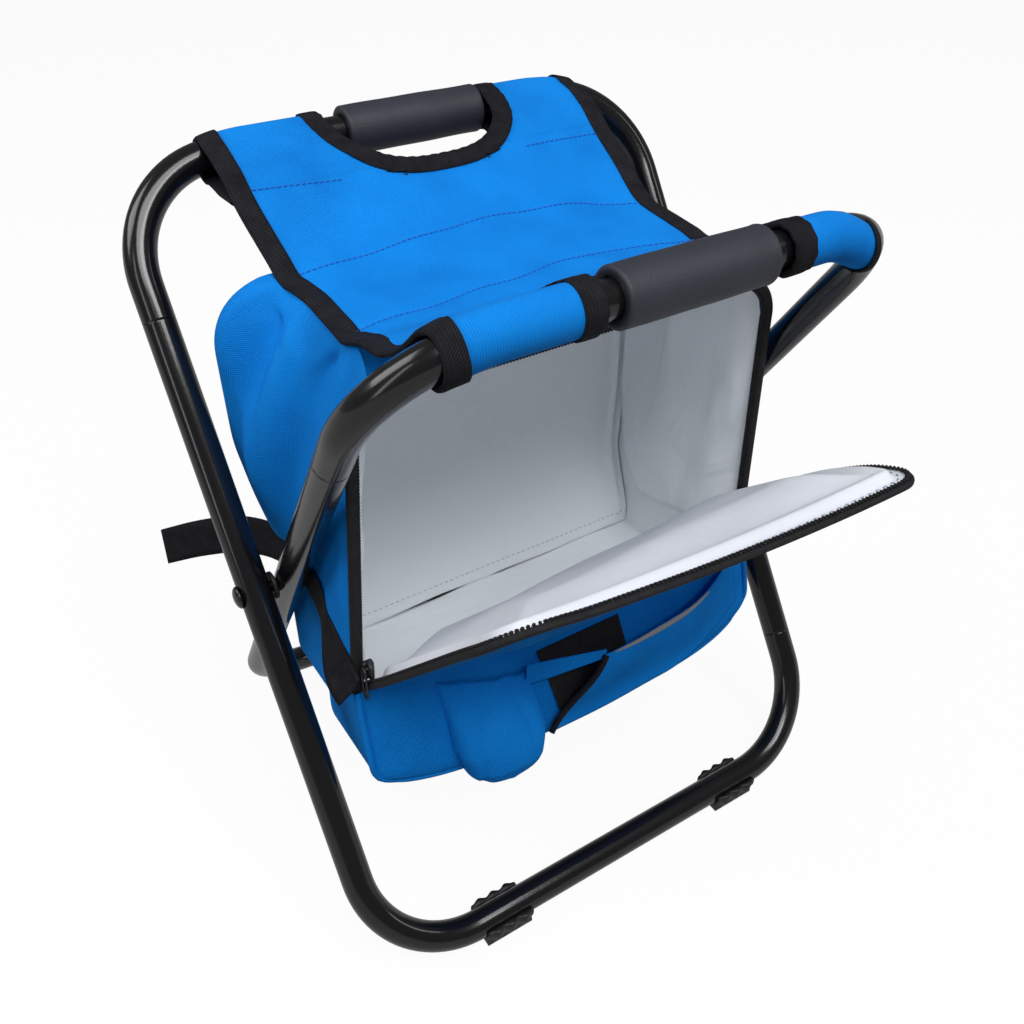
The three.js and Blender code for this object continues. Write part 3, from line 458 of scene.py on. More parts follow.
YARNS = 262.0
blue_cloth, blue = new_material("blue_oxford_cloth", {"Roughness": 0.78, "Specular IOR Level": 0.1})
weave = worked(blue, "MULTIPLY", ribs(blue, YARNS, "X"), ribs(blue, YARNS, "Y"))
fade = noise(blue, 22.0, 5.0)
tone = worked(blue, "ADD", fade, weave)
tint(blue, tone, (0.0010, 0.128, 0.48), (0.0042, 0.262, 0.83), 0.25, 0.96)
emboss(blue, weave, 0.5, 0.0004)


def smooth(low, high, value):
    """Nought below low and one above high, with an even start and end between."""
    share = np.clip((np.asarray(value, float) - low) / (high - low), 0, 1)
    return share * share * (3 - 2 * share)


def run_along(points):
    """Distance run along a line of points."""
    return np.concatenate([[0], np.cumsum(np.linalg.norm(np.diff(points, axis=0), axis=1))])


def sampled(values, run, at):
    """Values along a line, read at distances run along it."""
    return np.stack([np.interp(at, run, values[:, k]) for k in range(values.shape[1])], -1)


def eased(points, step, blur):
    """A line through points at even steps, with its corners averaged over a length."""
    points = np.asarray(points, float)
    run = run_along(points)
    at = np.linspace(0, run[-1], int(run[-1] / step) + 1)
    line = sampled(points, run, at)
    wide = max(int(blur / step) // 2, 1)
    kernel = np.ones(2 * wide + 1) / (2 * wide + 1)
    ends = [2 * line[:1] - line[wide:0:-1], line, 2 * line[-1:] - line[-2:-wide - 2:-1]]
    padded_line = np.concatenate(ends)
    return np.stack([np.convolve(padded_line[:, k], kernel, "valid") for k in range(points.shape[1])], -1)


SLEEVE_R = 11.6


def round_bar(bar_y, first, last):
    """The sling's way round a top bar, as (y, z) points every ten degrees."""
    turn = np.radians(np.arange(first, last, 10))
    return np.stack([bar_y + SLEEVE_R * np.cos(turn), SEAT_Z + SLEEVE_R * np.sin(turn)], -1)


sling_line = np.concatenate([
    [(82, 395.6), (105, 394.2)], round_bar(BAR_Y, -125, 96),
    [(115, 413.2), (95, 406.0), (80, 396.8), (65, 387.5), (50, 378.5), (40, 372.8), (33, 369.6),
     (20, 367.6), (5, 366.4), (-10, 365.4), (-24, 365.0), (-38, 366.6), (-48, 369.8),
     (-70, 381.5), (-90, 393.0), (-110, 405.0), (-120, 412.0)],
    round_bar(-BAR_Y, 80, 306), [(-108, 394.0), (-86, 389.5)]])
profile = eased(sling_line, 0.5, 6.0)
profile_run = run_along(profile)
CUT_X, CUT_HALF, CUT_DEEP, CUT_FULL = 6.0, 53.5, 49.0, 2.7


def cut_half(y):
    """Half width of the hand cut-outs at a distance from the bars: half an oval that is a little
    fuller than an ellipse."""
    deep = np.clip((BAR_Y - np.abs(y)) / CUT_DEEP, 0, 1)
    return CUT_HALF * (1 - deep ** CUT_FULL) ** (1 / CUT_FULL)


bar_top = int(np.argmax(np.where(profile[:, 0] > 0, profile[:, 1], 0)))
front_top = int(np.argmax(np.where(profile[:, 0] < 0, profile[:, 1], 0)))
apex = CUT_DEEP * np.sin(np.radians(np.arange(30, 91, 3))) ** (2 / CUT_FULL)
slope = np.arange(bar_top, front_top)
rear_marks = np.interp(-(BAR_Y - apex), -profile[slope, 0], profile_run[slope])
front_marks = np.interp(BAR_Y - apex, -profile[slope, 0], profile_run[slope])
close = np.arange(0, profile_run[-1], 1.25)
close = close[np.abs(np.interp(close, profile_run, profile[:, 0])) > 114]
rows_at = np.unique(np.round(np.concatenate([
    np.arange(0, profile_run[-1], 3.0), [profile_run[-1]], close, rear_marks, front_marks]), 2))
row_y = np.interp(rows_at, profile_run, profile[:, 0])
row_z = np.interp(rows_at, profile_run, profile[:, 1])
rear_up = hoop(-FOOT_Y, BAR_Y)[0]
front_up = hoop(FOOT_Y, -BAR_Y)[0]

LEFT_EDGE = eased([
    (132, 117.5), (115, 118.5), (77, 119.5), (50, 117.3), (36, 116.5), (14, 112.0), (-12, 113.4),
    (-37, 115.0), (-70, 114.5), (-100, 114.5), (-132, 118.0)], 1.0, 16.0)
RIGHT_EDGE = eased([
    (132, 126.5), (107, 125.0), (94, 123.0), (78, 121.0), (56, 121.0), (32, 118.0), (21, 115.5),
    (0, 115.5), (-27, 114.0), (-60, 113.0), (-100, 113.5), (-132, 117.0)], 1.0, 16.0)
FRONT_STITCH = np.array([
    (-114.0, -33.0), (-104.0, -28.5), (-71.0, -23.5), (-34.0, -19.5), (11.5, -13.7), (50.0, -12.0),
    (74.0, -20.0), (97.0, -27.0), (114.0, -28.0)])
REAR_STITCH = np.array([
    (-116.0, 36.0), (-56.0, 39.7), (-4.0, 42.5), (45.0, 40.3), (77.0, 36.5), (110.0, 23.0),
    (117.0, 20.0)])


def sling_edge(y, side):
    """Half width of the sling: narrow between the bag seams, wider where it meets the bars."""
    line = LEFT_EDGE if side < 0 else RIGHT_EDGE
    return np.interp(-y, -line[:, 0], line[:, 1])


def sling_point(x, y, z):
    """Points of the sling's outline carried across. Sleeves follow the bend of their bar, but the
    right end of the front sleeve droops off it, and the left edge sags before its sleeve."""
    y, z = np.broadcast_to(y, x.shape).copy(), np.broadcast_to(z, x.shape).copy()
    bend = np.arcsin(np.clip((np.abs(x) - (INNER_X - BEND_R)) / BEND_R, 0, 1))
    drop = BEND_R * (1 - np.cos(bend)) * smooth(80, 126, -y)
    low = smooth(4, -8, z - SEAT_Z) * smooth(100, 120, -y)
    y = y - drop * front_up[1]
    z = z - drop * front_up[2]
    loose = smooth(84, 116, x) * smooth(112, 128, -y)
    z = z - loose * (4.5 + 1.0 * low)
    y = y - loose * 2.0
    z = z - 8.0 * smooth(-88, -114, x) * smooth(48, 76, -y) * smooth(116, 86, -y)
    outer_bend = np.arcsin(np.clip((np.abs(x) - (OUTER_X - BEND_R)) / BEND_R, 0, 1))
    outer_drop = BEND_R * (1 - np.cos(outer_bend)) * smooth(80, 126, y)
    outer_drop = outer_drop + 1.8 * smooth(92, 122, np.abs(x)) * smooth(110, 126, y)
    y, z = y - outer_drop * rear_up[1], z - outer_drop * rear_up[2]
    middle = smooth(100, 60, np.abs(y))
    off_front = y - np.interp(x, FRONT_STITCH[:, 0], FRONT_STITCH[:, 1])
    off_rear = y - np.interp(x, REAR_STITCH[:, 0], REAR_STITCH[:, 1])
    pucker = 0.8 * np.sin(x / 9.0 + 1.2 * np.sin(y / 17.0)) * np.exp(-(off_front / 9.0) ** 2)
    pucker = pucker + 0.6 * np.sin(x / 8.0 + 0.9 * np.sin(y / 13.0)) * np.exp(-(off_rear / 7.0) ** 2)
    drawn = -1.1 * np.exp(-(off_front / 5.0) ** 2) - 0.9 * np.exp(-(off_rear / 5.0) ** 2)
    slack = 1.1 * np.sin(x / 43.0 + 0.6) * np.sin(y / 29.0 + 0.3)
    return np.stack([x, y, z + middle * (pucker + drawn + slack)], -1)


columns = np.linspace(0, 1, 45)
cut = cut_half(row_y)
left_x = -sling_edge(row_y, -1.0)[:, None] * (1 - columns) + (CUT_X - cut)[:, None] * columns
right_x = (CUT_X + cut)[:, None] * (1 - columns) + sling_edge(row_y, 1.0)[:, None] * columns
left_half = sling_point(left_x, row_y[:, None], row_z[:, None])
right_half = sling_point(right_x, row_y[:, None], row_z[:, None])


def folds_with_frame(piece, slot, *nodes):
    """Bakes a piece of the sling into place and stands for solids. The slot is not used."""
    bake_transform(piece)
    if nodes:
        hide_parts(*nodes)


SLING_THICK = 1.2
sling = build("cloth_seat_sling", [left_half, right_half], blue_cloth, SLING_THICK, outwards=False)
folds_with_frame(sling, "blue_cloth", "seat_sling")

# Bindings: black ribbed tape folded over the sling's raw edges and sewn, along both sides and
# round each hand cut-out. Where it crosses a bar it bands the sleeve's end.
tape, tape_shader = new_material("black_ribbed_tape", {"Roughness": 0.82, "Specular IOR Level": 0.15})
tape_ribs = ribs(tape_shader, 210.0, "Y")
tape_yarn = ribs(tape_shader, 190.0, "X")
tape_height = worked(tape_shader, "MULTIPLY_ADD", tape_yarn, 0.35, tape_ribs)
tape_lint = noise(tape_shader, 120.0, 4.0)
tape_sum = worked(tape_shader, "MULTIPLY", tape_height, tape_lint)
tint(tape_shader, tape_sum, (0.0035, 0.0035, 0.005), (0.030, 0.030, 0.039))
emboss(tape_shader, tape_height, 0.55, 0.0005)

TAPE_FACE, CUT_FACE, TAPE_THICK = 10.3, 10.5, 0.7
FOLD_OVER = np.array([
    (1.0, 1.15), (0.8, 1.3), (0.5, 1.35), (0.2, 1.35), (0.0, 1.2), (-0.10, 0.75), (-0.13, 0.0),
    (-0.10, -0.75), (0.0, -1.2), (0.2, -1.35), (0.5, -1.35), (0.8, -1.3), (1.0, -1.15)])


def folded_tape(path, inwards, normal, face):
    """Tape folded over an edge: at each place a narrow U, open towards the cloth."""
    face = np.broadcast_to(face, len(path))
    reach = FOLD_OVER[None, :, :1] * face[:, None, None]
    lift = FOLD_OVER[None, :, 1:]
    return path[:, None] + reach * inwards[:, None] + lift * normal[:, None]


def edge_frame(points, beside):
    """Along an edge: the direction into the cloth, and the cloth's normal."""
    along = unit(np.gradient(points, axis=0))
    into = beside - points
    into = unit(into - (into * along).sum(-1, keepdims=True) * along)
    return into, unit(np.cross(into, along))


for hand, edge, beside, drawn_in in (
        ("left", left_half[:, 0], left_half[:, 1], 1.0),
        ("right", right_half[:, -1], right_half[:, -2], 4.0)):
    into, normal = edge_frame(edge, beside)
    face = TAPE_FACE - drawn_in * smooth(112, 124, -row_y)
    folded = folded_tape(edge, into, normal, face)
    binding = build(f"sewn_edge_binding_{hand}", [folded], tape, TAPE_THICK, outwards=False)
    folds_with_frame(binding, "black_tape", f"sling_edge_binding_{hand}")

rear_cut = np.flatnonzero((row_y > 0) & (cut > 0))
front_cut = np.flatnonzero((row_y < 0) & (cut > 0))[::-1]
for place, picked in (("rear", rear_cut), ("front", front_cut)):
    edge = np.concatenate([left_half[picked, -1], right_half[picked, 0][::-1]])
    beside = np.concatenate([left_half[picked, -2], right_half[picked, 1][::-1]])
    edge, at = np.unique(np.round(edge, 4), axis=0, return_index=True)
    order = np.argsort(at)
    edge, beside = edge[order], beside[at[order]]
    into, normal = edge_frame(edge, beside)
    run = run_along(edge)
    even = np.linspace(0, run[-1], int(run[-1] / 2.0))
    edge, into, normal = [sampled(values, run, even) for values in (edge, into, normal)]
    into, normal = unit(into), unit(normal)
    gather = 0.35 * np.sin(even / 1.05) * smooth(0, 60, even) * smooth(0, 60, run[-1] - even)
    edge = edge + gather[:, None] * normal
    folded = folded_tape(edge, into, normal, CUT_FACE)
    binding = build(f"sewn_{place}_cutout_binding", [folded], tape, TAPE_THICK, outwards=False)
    folds_with_frame(binding, "black_tape", f"{place}_cutout_binding")


# Sling stitching: blue thread lockstitched through the hems and along the two seams where the
# bag hangs from the sling.
def thread_finish(name, roughness, dark, pale):
    """Spun thread, flecked between two tones."""
    made, shader = new_material(name, {"Roughness": roughness})
    tint(shader, noise(shader, 700.0, 2.0), dark, pale)
    return made


def spindles(centre, axis, normal, reach, girth, sides):
    """Small bars: at each centre, rings of the given girths at the given reaches along an axis."""
    turn = np.linspace(0, 2 * np.pi, sides + 1)[None, :, None]
    ring = np.cos(turn) * normal[:, None] + np.sin(turn) * np.cross(axis, normal)[:, None]
    body = reach[None, :, None, None] * axis[:, None, None] + girth[None, :, None, None] * ring[:, None]
    return list(centre[:, None, None] + body)


STITCH_REACH = np.array([-1.0, -0.8, 0.0, 0.8, 1.0])
STITCH_GIRTH = np.array([0.02, 0.75, 1.0, 0.75, 0.02])


def stitches(path, normal, pitch=3.4, long=2.5, wide=0.42, lift=0.35):
    """Thread dashes along a line: small spindles laid end to end, half sunk in the cloth."""
    run = run_along(path)
    at = np.arange(pitch / 2, run[-1], pitch)
    along = unit(sampled(unit(np.gradient(path, axis=0)), run, at))
    normal = unit(sampled(np.broadcast_to(normal, path.shape), run, at))
    centre = sampled(path, run, at) + lift * normal
    return spindles(centre, along, normal, STITCH_REACH * long / 2, STITCH_GIRTH * wide, 6)


def sling_height(y):
    """Height of the sling's upper face at a distance from the middle."""
    return np.interp(-y, -profile[slope, 0], profile[slope, 1])


def sling_seam(points):
    """A line across the sling's upper face through points given as (x, y), and its normals."""
    x, y = eased(points, 2.0, 20.0).T
    line = sling_point(x, y, sling_height(y))
    steep = (sling_height(y + 1) - sling_height(y - 1)) / 2
    normal = unit(np.stack([0 * steep, -steep, 1 + 0 * steep], -1))
    return line + 0.6 * normal, normal


LEFT_HEM, RIGHT_HEM = [(-109, 84), (-80, 82), (-57, 80)], [(60, 78), (85, 78), (112, 77)]
seam_runs = [sling_seam(points) for points in (LEFT_HEM, RIGHT_HEM, REAR_STITCH, FRONT_STITCH)]
dashes = [dash for line, normal in seam_runs for dash in stitches(line, normal)]
blue_thread = thread_finish("blue_thread", 0.6, (0.002, 0.085, 0.42), (0.006, 0.15, 0.62))
sling_thread = build("sling_stitching", dashes, blue_thread)
folds_with_frame(sling_thread, "blue_cloth")

# Bag cover: the same blue cloth sewn into a soft box under the sling. Its sides are drawn in where
# the folding legs pass, bulge behind them, and hang in folds from the ends of the two seams.
BAG_LOW, SILL_Z, SHOULDER_LOW, SHOULDER_HIGH = 108.0, 172.0, 336.0, 368.0
CORNER_LOW, CORNER_R = 326.0, 28.0
TOE_Y, SILL_Y, REAR_SEAM, FRONT_SEAM = -79.0, -63.0, 33.0, -48.0
BAG_HALF, BAG_BACK, NECK_HALF, BULGE_BEHIND, BULGE_BEFORE = 136.0, 60.0, 113.0, 17.0, 6.0
SLOPE_LOW, OPENING_X, OPENING_Y, PANEL_X = 268.0, -131.5, -67.0, -143.0
LEG_LEANS = np.radians([34.0, 6.0])


def under_sling(y):
    """Height just below the sling at a distance from the middle."""
    return sling_height(np.clip(y, FRONT_SEAM, 46)) - 2.2


def leg_room(y, z):
    """How far a place is behind, and how far before, the whole path of the folding inner legs."""
    first, last = [y * np.cos(lean) + (z - PIVOT_Z) * np.sin(lean) for lean in LEG_LEANS]
    return np.minimum(first, last), -np.maximum(first, last)


def shoulder(z, full):
    """One at full width, falling to nought at the sling: round a short shoulder where the cloth
    is full, and down a long slope where it is drawn in."""
    low = SLOPE_LOW + (SHOULDER_LOW - SLOPE_LOW) * full
    share = np.clip((z - low) / (SHOULDER_HIGH - low), 0, 1)
    return (1 - share ** (1.5 + 0.7 * full)) ** (0.85 - 0.4 * full)


def fullness(y, side):
    """How full the shoulder is: slack behind the rear seam on the left, drawn in elsewhere."""
    return (0.95 if side < 0 else 0.2) * smooth(22, 44, y)


def tucked(z, depth):
    """Drawing in of the walls round the bottom edge."""
    share = np.clip((BAG_LOW + 12 - z) / 12, 0, 1)
    return depth * (1 - np.sqrt(1 - share ** 2))


def bag_half(y, z, side):
    """Half width of the bag: narrow beside the legs' path, more behind it and before it, and the
    sling's width at the top."""
    behind, before = leg_room(y, z)
    full = BAG_HALF + BULGE_BEHIND * smooth(10, 34, behind) * smooth(175, 285, z)
    full = full + BULGE_BEFORE * smooth(10, 34, before)
    return NECK_HALF + (full - tucked(z, 8.0) - NECK_HALF) * shoulder(z, fullness(y, side))


def bag_back(z):
    """Distance of the back wall: the rear seam at the top, the full depth below."""
    return REAR_SEAM + (BAG_BACK - REAR_SEAM) * shoulder(z, 0.9) - tucked(z, 7.0)


wall_rows = np.concatenate([np.linspace(BAG_LOW, 120, 7), np.linspace(124, CORNER_LOW, 48)])
rise = np.concatenate([np.zeros(len(wall_rows)), np.linspace(0, 1, 25)[1:]])
top_rows = CORNER_LOW + (SHOULDER_HIGH - CORNER_LOW) * np.sin(np.linspace(0, np.pi / 2, 25)[1:]) ** 0.9
bag_z = np.concatenate([wall_rows, top_rows])


def opening_corner(turn):
    """The opening's left upper corner, a quarter circle from its side to its top."""
    x = OPENING_X + CORNER_R * (1 - np.cos(turn))
    return np.stack([x, OPENING_Y - 1.0 * np.sin(turn), CORNER_LOW + CORNER_R * np.sin(turn)], -1)


def up_panel(z):
    """Share of the way up the lower front panel."""
    return np.clip((z - BAG_LOW) / (SILL_Z - BAG_LOW), 0, 1)


def front_edge():
    """Left end of each row: up the piping of the lower panel, up the side of the opening, round
    half its corner, and on to the end of the sling's front seam."""
    below = up_panel(bag_z)
    beside = np.clip((bag_z - SILL_Z) / (CORNER_LOW - SILL_Z), 0, 1)
    x = PANEL_X + 1.5 * below + 10.0 * beside + tucked(bag_z, 6.0)
    y = TOE_Y + (SILL_Y - TOE_Y) * below - 4.0 * beside + tucked(bag_z, 5.0)
    line = np.stack([x, y, bag_z], -1)
    corner = opening_corner(np.radians(45) * np.clip(rise * 2, 0, 1))
    line = np.where((rise > 0)[:, None], corner, line)
    seam_end = np.array([-NECK_HALF, FRONT_SEAM, under_sling(FRONT_SEAM)])
    return line + (seam_end - line) * smooth(0.5, 1.0, rise)[:, None]


SIDE_FOLDS = (
    (-5.0, [(262, 42), (300, 34), (322, 30), (340, 27), (353, 27), (361, 33), (368, 38)], 8.0),
    (3.5, [(262, 20), (300, 13), (345, 9), (368, 16)], 10.0),
    (-5.0, [(262, 4), (300, -6), (340, -18), (368, -30)], 10.0),
    (2.5, [(262, -26), (320, -36), (368, -42)], 8.0))


def gathers(y, z):
    """Folds that run down from the ends of the bag's two seams: rounded ridges and valleys along
    lines, narrow at the top, and dying away below."""
    height = 0.0
    for deep, line, wide in SIDE_FOLDS:
        line = np.array(line, float)
        spread = wide * (0.35 + 0.65 * smooth(368, 320, z))
        near = np.exp(-((y - np.interp(z, line[:, 0], line[:, 1])) / spread) ** 2)
        height = height - deep * near * smooth(369, 350, z) * smooth(225, 325, z)
    return height


def side_wall(side):
    """Half of the bag's wall, drawn on the left, as rows from the front end to the middle of the
    back: a front corner, the side, a round rear corner and half the back."""
    start, z = front_edge(), bag_z[:, None]
    turn = np.linspace(0, np.pi / 2, 9)[None, :]
    front_round = 11.0 * (0.2 + 0.8 * shoulder(z, 0.9))
    y_corner = start[:, 1:2] + front_round * (1 - np.cos(turn))
    x_side = bag_half(start[:, 1:2] + front_round, z, side)
    x_corner = start[:, :1] + (-x_side - start[:, :1]) * np.sin(turn)
    z_corner = start[:, 2:] + (z - start[:, 2:]) * np.sin(turn) ** 2
    rear_round = (22.0 - 6.0 * smooth(220, 280, z)) * (0.1 + 0.9 * shoulder(z, 0.9))
    back = bag_back(z)
    y_side = y_corner[:, -1:] + (back - rear_round - y_corner[:, -1:]) * np.linspace(0, 1, 50)[None, 1:]
    x_wall = -bag_half(y_side, z, side)
    turn = turn[:, 1:]
    x_rear = x_wall[:, -1:] + rear_round * (1 - np.cos(turn))
    y_rear = back - rear_round * (1 - np.sin(turn))
    x_back = x_rear[:, -1:] * (1 - np.linspace(0, 1, 30)[None, 1:])
    x = np.concatenate([x_corner, x_wall, x_rear, x_back], 1)
    y = np.concatenate([y_corner, y_side, y_rear, np.repeat(back, 29, 1)], 1)
    z = np.concatenate([z_corner, np.repeat(z, x.shape[1] - 9, 1)], 1)
    across = np.arange(x.shape[1])[None, :]
    on_side = smooth(2, 14, across) * smooth(70, 56, across)
    x = x + on_side * gathers(y, z)
    on_back = smooth(66, 80, across)
    sag = 2.2 * np.sin(z / 25.0 + x / 70.0) * np.sin(x / 39.0 + 0.8)
    y = y + on_back * sag * shoulder(z, 0.9) * smooth(BAG_LOW, 160, z)
    z = z + (under_sling(y) - SHOULDER_HIGH) * smooth(SHOULDER_LOW, SHOULDER_HIGH, z)
    return np.stack([x, y, z], -1)


def mirrored(grid):
    """The same points on the other side."""
    return grid * np.array([-1.0, 1.0, 1.0])


def ruled(left, right, count):
    """Straight lines from points on the left to points on the right."""
    share = np.linspace(0, 1, count)[None, :, None]
    return left[:, None] * (1 - share) + right[:, None] * share


def spanned(first, last, left, right):
    """A sheet stretched between four edges that share corners: the two ruled sheets between
    facing edges, less the flat one between the corners."""
    u = np.linspace(0, 1, len(first))[None, :, None]
    v = np.linspace(0, 1, len(left))[:, None, None]
    corners = (1 - u) * (1 - v) * first[0] + u * (1 - v) * first[-1]
    corners = corners + (1 - u) * v * last[0] + u * v * last[-1]
    return (1 - v) * first[None] + v * last[None] + (1 - u) * left[:, None] + u * right[:, None] - corners


left_wall, right_wall = side_wall(-1.0), mirrored(side_wall(1.0))
sill_row = int(np.argmin(np.abs(bag_z - SILL_Z)))
panel_left = left_wall[:sill_row + 1, 0]
PANEL_HALF, PANEL_BULGE, TOE_OUT, TOE_DOWN = 142.0, 5.0, 18.0, 5.0


def panel_bow(x):
    """A broad bow across the lower front panel: one in the middle, nought at its sides."""
    return 1 - (np.abs(x) / PANEL_HALF) ** 4


def panel_swell(x, z):
    """How far the lower front panel stands out before the line of its sides: most at its bottom
    edge, in a broad bow across, and a little half way up."""
    high = up_panel(z)
    stand = TOE_OUT * (1 - high) ** 1.2 + PANEL_BULGE * np.sin(np.pi * high)
    return np.maximum(panel_bow(x), 0) * stand


lower_panel = ruled(panel_left, mirrored(panel_left), 70)
panel_across, panel_up = lower_panel[..., 0], lower_panel[..., 2]
lower_panel[..., 1] -= panel_swell(panel_across, panel_up)
lower_panel[..., 2] -= TOE_DOWN * panel_bow(panel_across) * smooth(140, BAG_LOW, panel_up)
bag_floor = ruled(left_wall[0], right_wall[0], 70)
near_toe = smooth(60, 0, bag_floor[..., 1] - bag_floor[0, 0, 1]) * panel_bow(bag_floor[..., 0])
bag_floor[..., 1] -= near_toe * TOE_OUT
bag_floor[..., 2] -= near_toe * TOE_DOWN
half_row = int(np.argmin(np.abs(rise - 0.5)))
roof_side = left_wall[half_row:, 0]
roof_corner = opening_corner(np.linspace(np.radians(45), np.radians(90), 12))
roof_straight = ruled(roof_corner[-1:], mirrored(roof_corner[-1:]), 40)[0]
roof_edge = np.concatenate([roof_corner, roof_straight[1:-1], mirrored(roof_corner)[::-1]])
roof_seam = ruled(roof_side[-1:], mirrored(roof_side[-1:]), len(roof_edge))[0]
roof = spanned(roof_edge, roof_seam, roof_side, mirrored(roof_side))
bag_top = ruled(left_wall[-1], right_wall[-1], 40)
cover_sheets = [left_wall, right_wall, bag_floor, lower_panel, roof, bag_top]
cover = build("sewn_bag_cover", cover_sheets, blue_cloth, thickness=1.0)
fitted(cover, "seat_bag", "blue_cloth",
       "bag_cover", "foam_left", "foam_right", "foam_bottom", "foam_back", "foam_front", "foam_top")

# Lining: white coated film sewn into a box inside the foam. It is loose, so it wrinkles, hangs in
# a hem on either side, and its floor seam stands forward of the back wall.
lining_white, lining = new_material("white_film_lining", {"Specular IOR Level": 0.4})
lining_turn = add_node(lining.id_data, "Mapping", {
    "Vector": on_object(lining), "Rotation": (0.3, 0.5, 0.7), "Scale": (9.0, 22.0, 14.0)})
lining_soft = noise(lining, 1.4, 4.0, distortion=0.6, at=lining_turn.outputs[0])
lining_fine = noise(lining, 240.0, 3.0)
# The film is white; its faint blue tint is painted light, the blue of light that comes through the cover.
tint(lining, lining_soft, (0.90, 0.945, 0.99), (0.935, 0.968, 0.995))
roughen(lining, lining_fine, 0.30, 0.48)
emboss(lining, lining_soft, 0.6, 0.007)

FILM_LOW, FILM_HIGH, FILM_BACK, FILM_HALF, HEM_STAND = 116.0, 358.0, 53.0, 128.0, 6.5
film_z = FILM_LOW + (FILM_HIGH - FILM_LOW) * (bag_z - BAG_LOW) / (SHOULDER_HIGH - BAG_LOW)
film_z = film_z + (bag_z - film_z) * smooth(BAG_LOW, 150, bag_z) * smooth(SHOULDER_HIGH, 320, bag_z)
hem_y = np.array([-70.0, -39.0, -4.0, 18.0, 34.0, 42.0, 48.0])
hem_z = np.array([172.0, 167.0, 158.0, 157.0, 178.0, 194.0, 230.0])


def film_wall(side):
    """One half of the lining's wall, from the opening along the side and to the middle of the
    back: straight runs with a sharp corner, a hem that stands off the side, and loose waves."""
    start = (front_edge() + [1.0, 1.0, 0.0]) * [side * -1.0, 1.0, 1.0]
    z = film_z[:, None]
    back = np.minimum(FILM_BACK - 17.0 * smooth(185, FILM_LOW, z), bag_back(z) - 4.0)
    share = np.linspace(0, 1, 60)[None, :]
    y_side = start[:, 1:2] + (back - start[:, 1:2]) * share
    room = bag_half(y_side, z, side) - 9.0 - np.maximum(gathers(y_side, z), 0)
    half = np.minimum(FILM_HALF + 4.0 * smooth(30, -60, y_side), room)
    meet = smooth(-0.02, 0.10, share)
    x_side = start[:, :1] + (side * half - start[:, :1]) * meet
    z_side = start[:, 2:] + (z - start[:, 2:]) * meet
    above_hem = z_side - np.interp(y_side, hem_y, hem_z)
    stand = HEM_STAND * smooth(-1.6, 1.6, above_hem) * smooth(0.02, 0.2, share)
    stand = stand * smooth(1.0, 0.94, share) * smooth(FILM_HIGH, 300, z_side)
    broad = 2.4 * np.sin(z_side / 31.0 + y_side / 23.0 + side) * np.sin(y_side / 19.0 + 0.4)
    fine = 0.9 * np.sin(z_side / 11.0 + y_side / 17.0) * np.sin(y_side / 9.0 - z_side / 23.0)
    billow = broad * smooth(0.05, 0.25, share) + fine * smooth(0.1, 0.3, share)
    x_side = x_side - side * (stand + billow * smooth(1.0, 0.8, share))
    x_back = x_side[:, -1:] * (1 - np.linspace(0, 1, 101)[None, 1:] ** 1.6)
    wave = 1.6 * np.sin(x_back / 26.0 - z / 30.0) * np.sin(z / 37.0 + x_back / 55.0 + 0.7)
    from_corner = np.abs(x_back) - np.abs(x_side[:, -1:])
    seam = 3.2 * np.exp(-((from_corner + 8) / 1.9) ** 2) + 2.6 * np.exp(-((from_corner + 2) / 1.6) ** 2)
    calm = smooth(0, 14, FILM_HALF - np.abs(x_back)) * smooth(FILM_LOW, 150, z)
    y_back = back - wave * calm - seam * smooth(122, 130, z)
    x = np.concatenate([x_side, x_back], 1)
    y = np.concatenate([y_side, y_back], 1)
    z = np.concatenate([z_side, np.broadcast_to(z, x_back.shape)], 1)
    return np.stack([x, y, z], -1)


film_left, film_right = film_wall(-1.0), film_wall(1.0)
film_floor = ruled(film_left[0], film_right[0], 50)
floor_x, floor_y = np.linspace(0, 1, 50)[None, :], np.linspace(0, 1, film_left.shape[1])[:, None]
rumple = np.sin(floor_x * 13.0 + floor_y * 6.0) + 0.7 * np.sin(floor_x * 7.0 - floor_y * 11.0)
film_floor[..., 2] += 1.4 * rumple * np.sin(floor_x * np.pi) * np.sin(floor_y * np.pi)
film_front = ruled(film_left[:sill_row + 1, 0], film_right[:sill_row + 1, 0], 50)
film_roof = ruled(film_left[-1], film_right[-1], 50)
film_brow = roof + [0.0, 1.4, -1.6]
film_sheets = [film_left, film_right, film_floor, film_front, film_roof, film_brow]
film = build("sewn_bag_lining", film_sheets, lining_white, thickness=0.5)
fitted(film, "seat_bag", "white_lining", "bag_lining")

# Lining thread: pale lockstitches that show along the seam between the lining's walls and floor.
# The thread is spun polyester, pulled down half into the film.
pale_thread = thread_finish("pale_thread", 0.7, (0.42, 0.44, 0.48), (0.72, 0.74, 0.78))
seam_row = int(np.argmin(np.abs(film_z - 127.0)))
floor_seam = np.concatenate([film_left[seam_row, 62:], film_right[seam_row, 62:][::-1]])
floor_seam = floor_seam + [0.0, -0.4, 0.0]
inwards = np.array([0.0, -0.75, 0.66])
floor_dashes = stitches(floor_seam, inwards, pitch=4.2, wide=0.4, lift=0.1)
film_thread = build("lining_stitching", floor_dashes, pale_thread)
fitted(film_thread, "seat_bag", "white_lining")

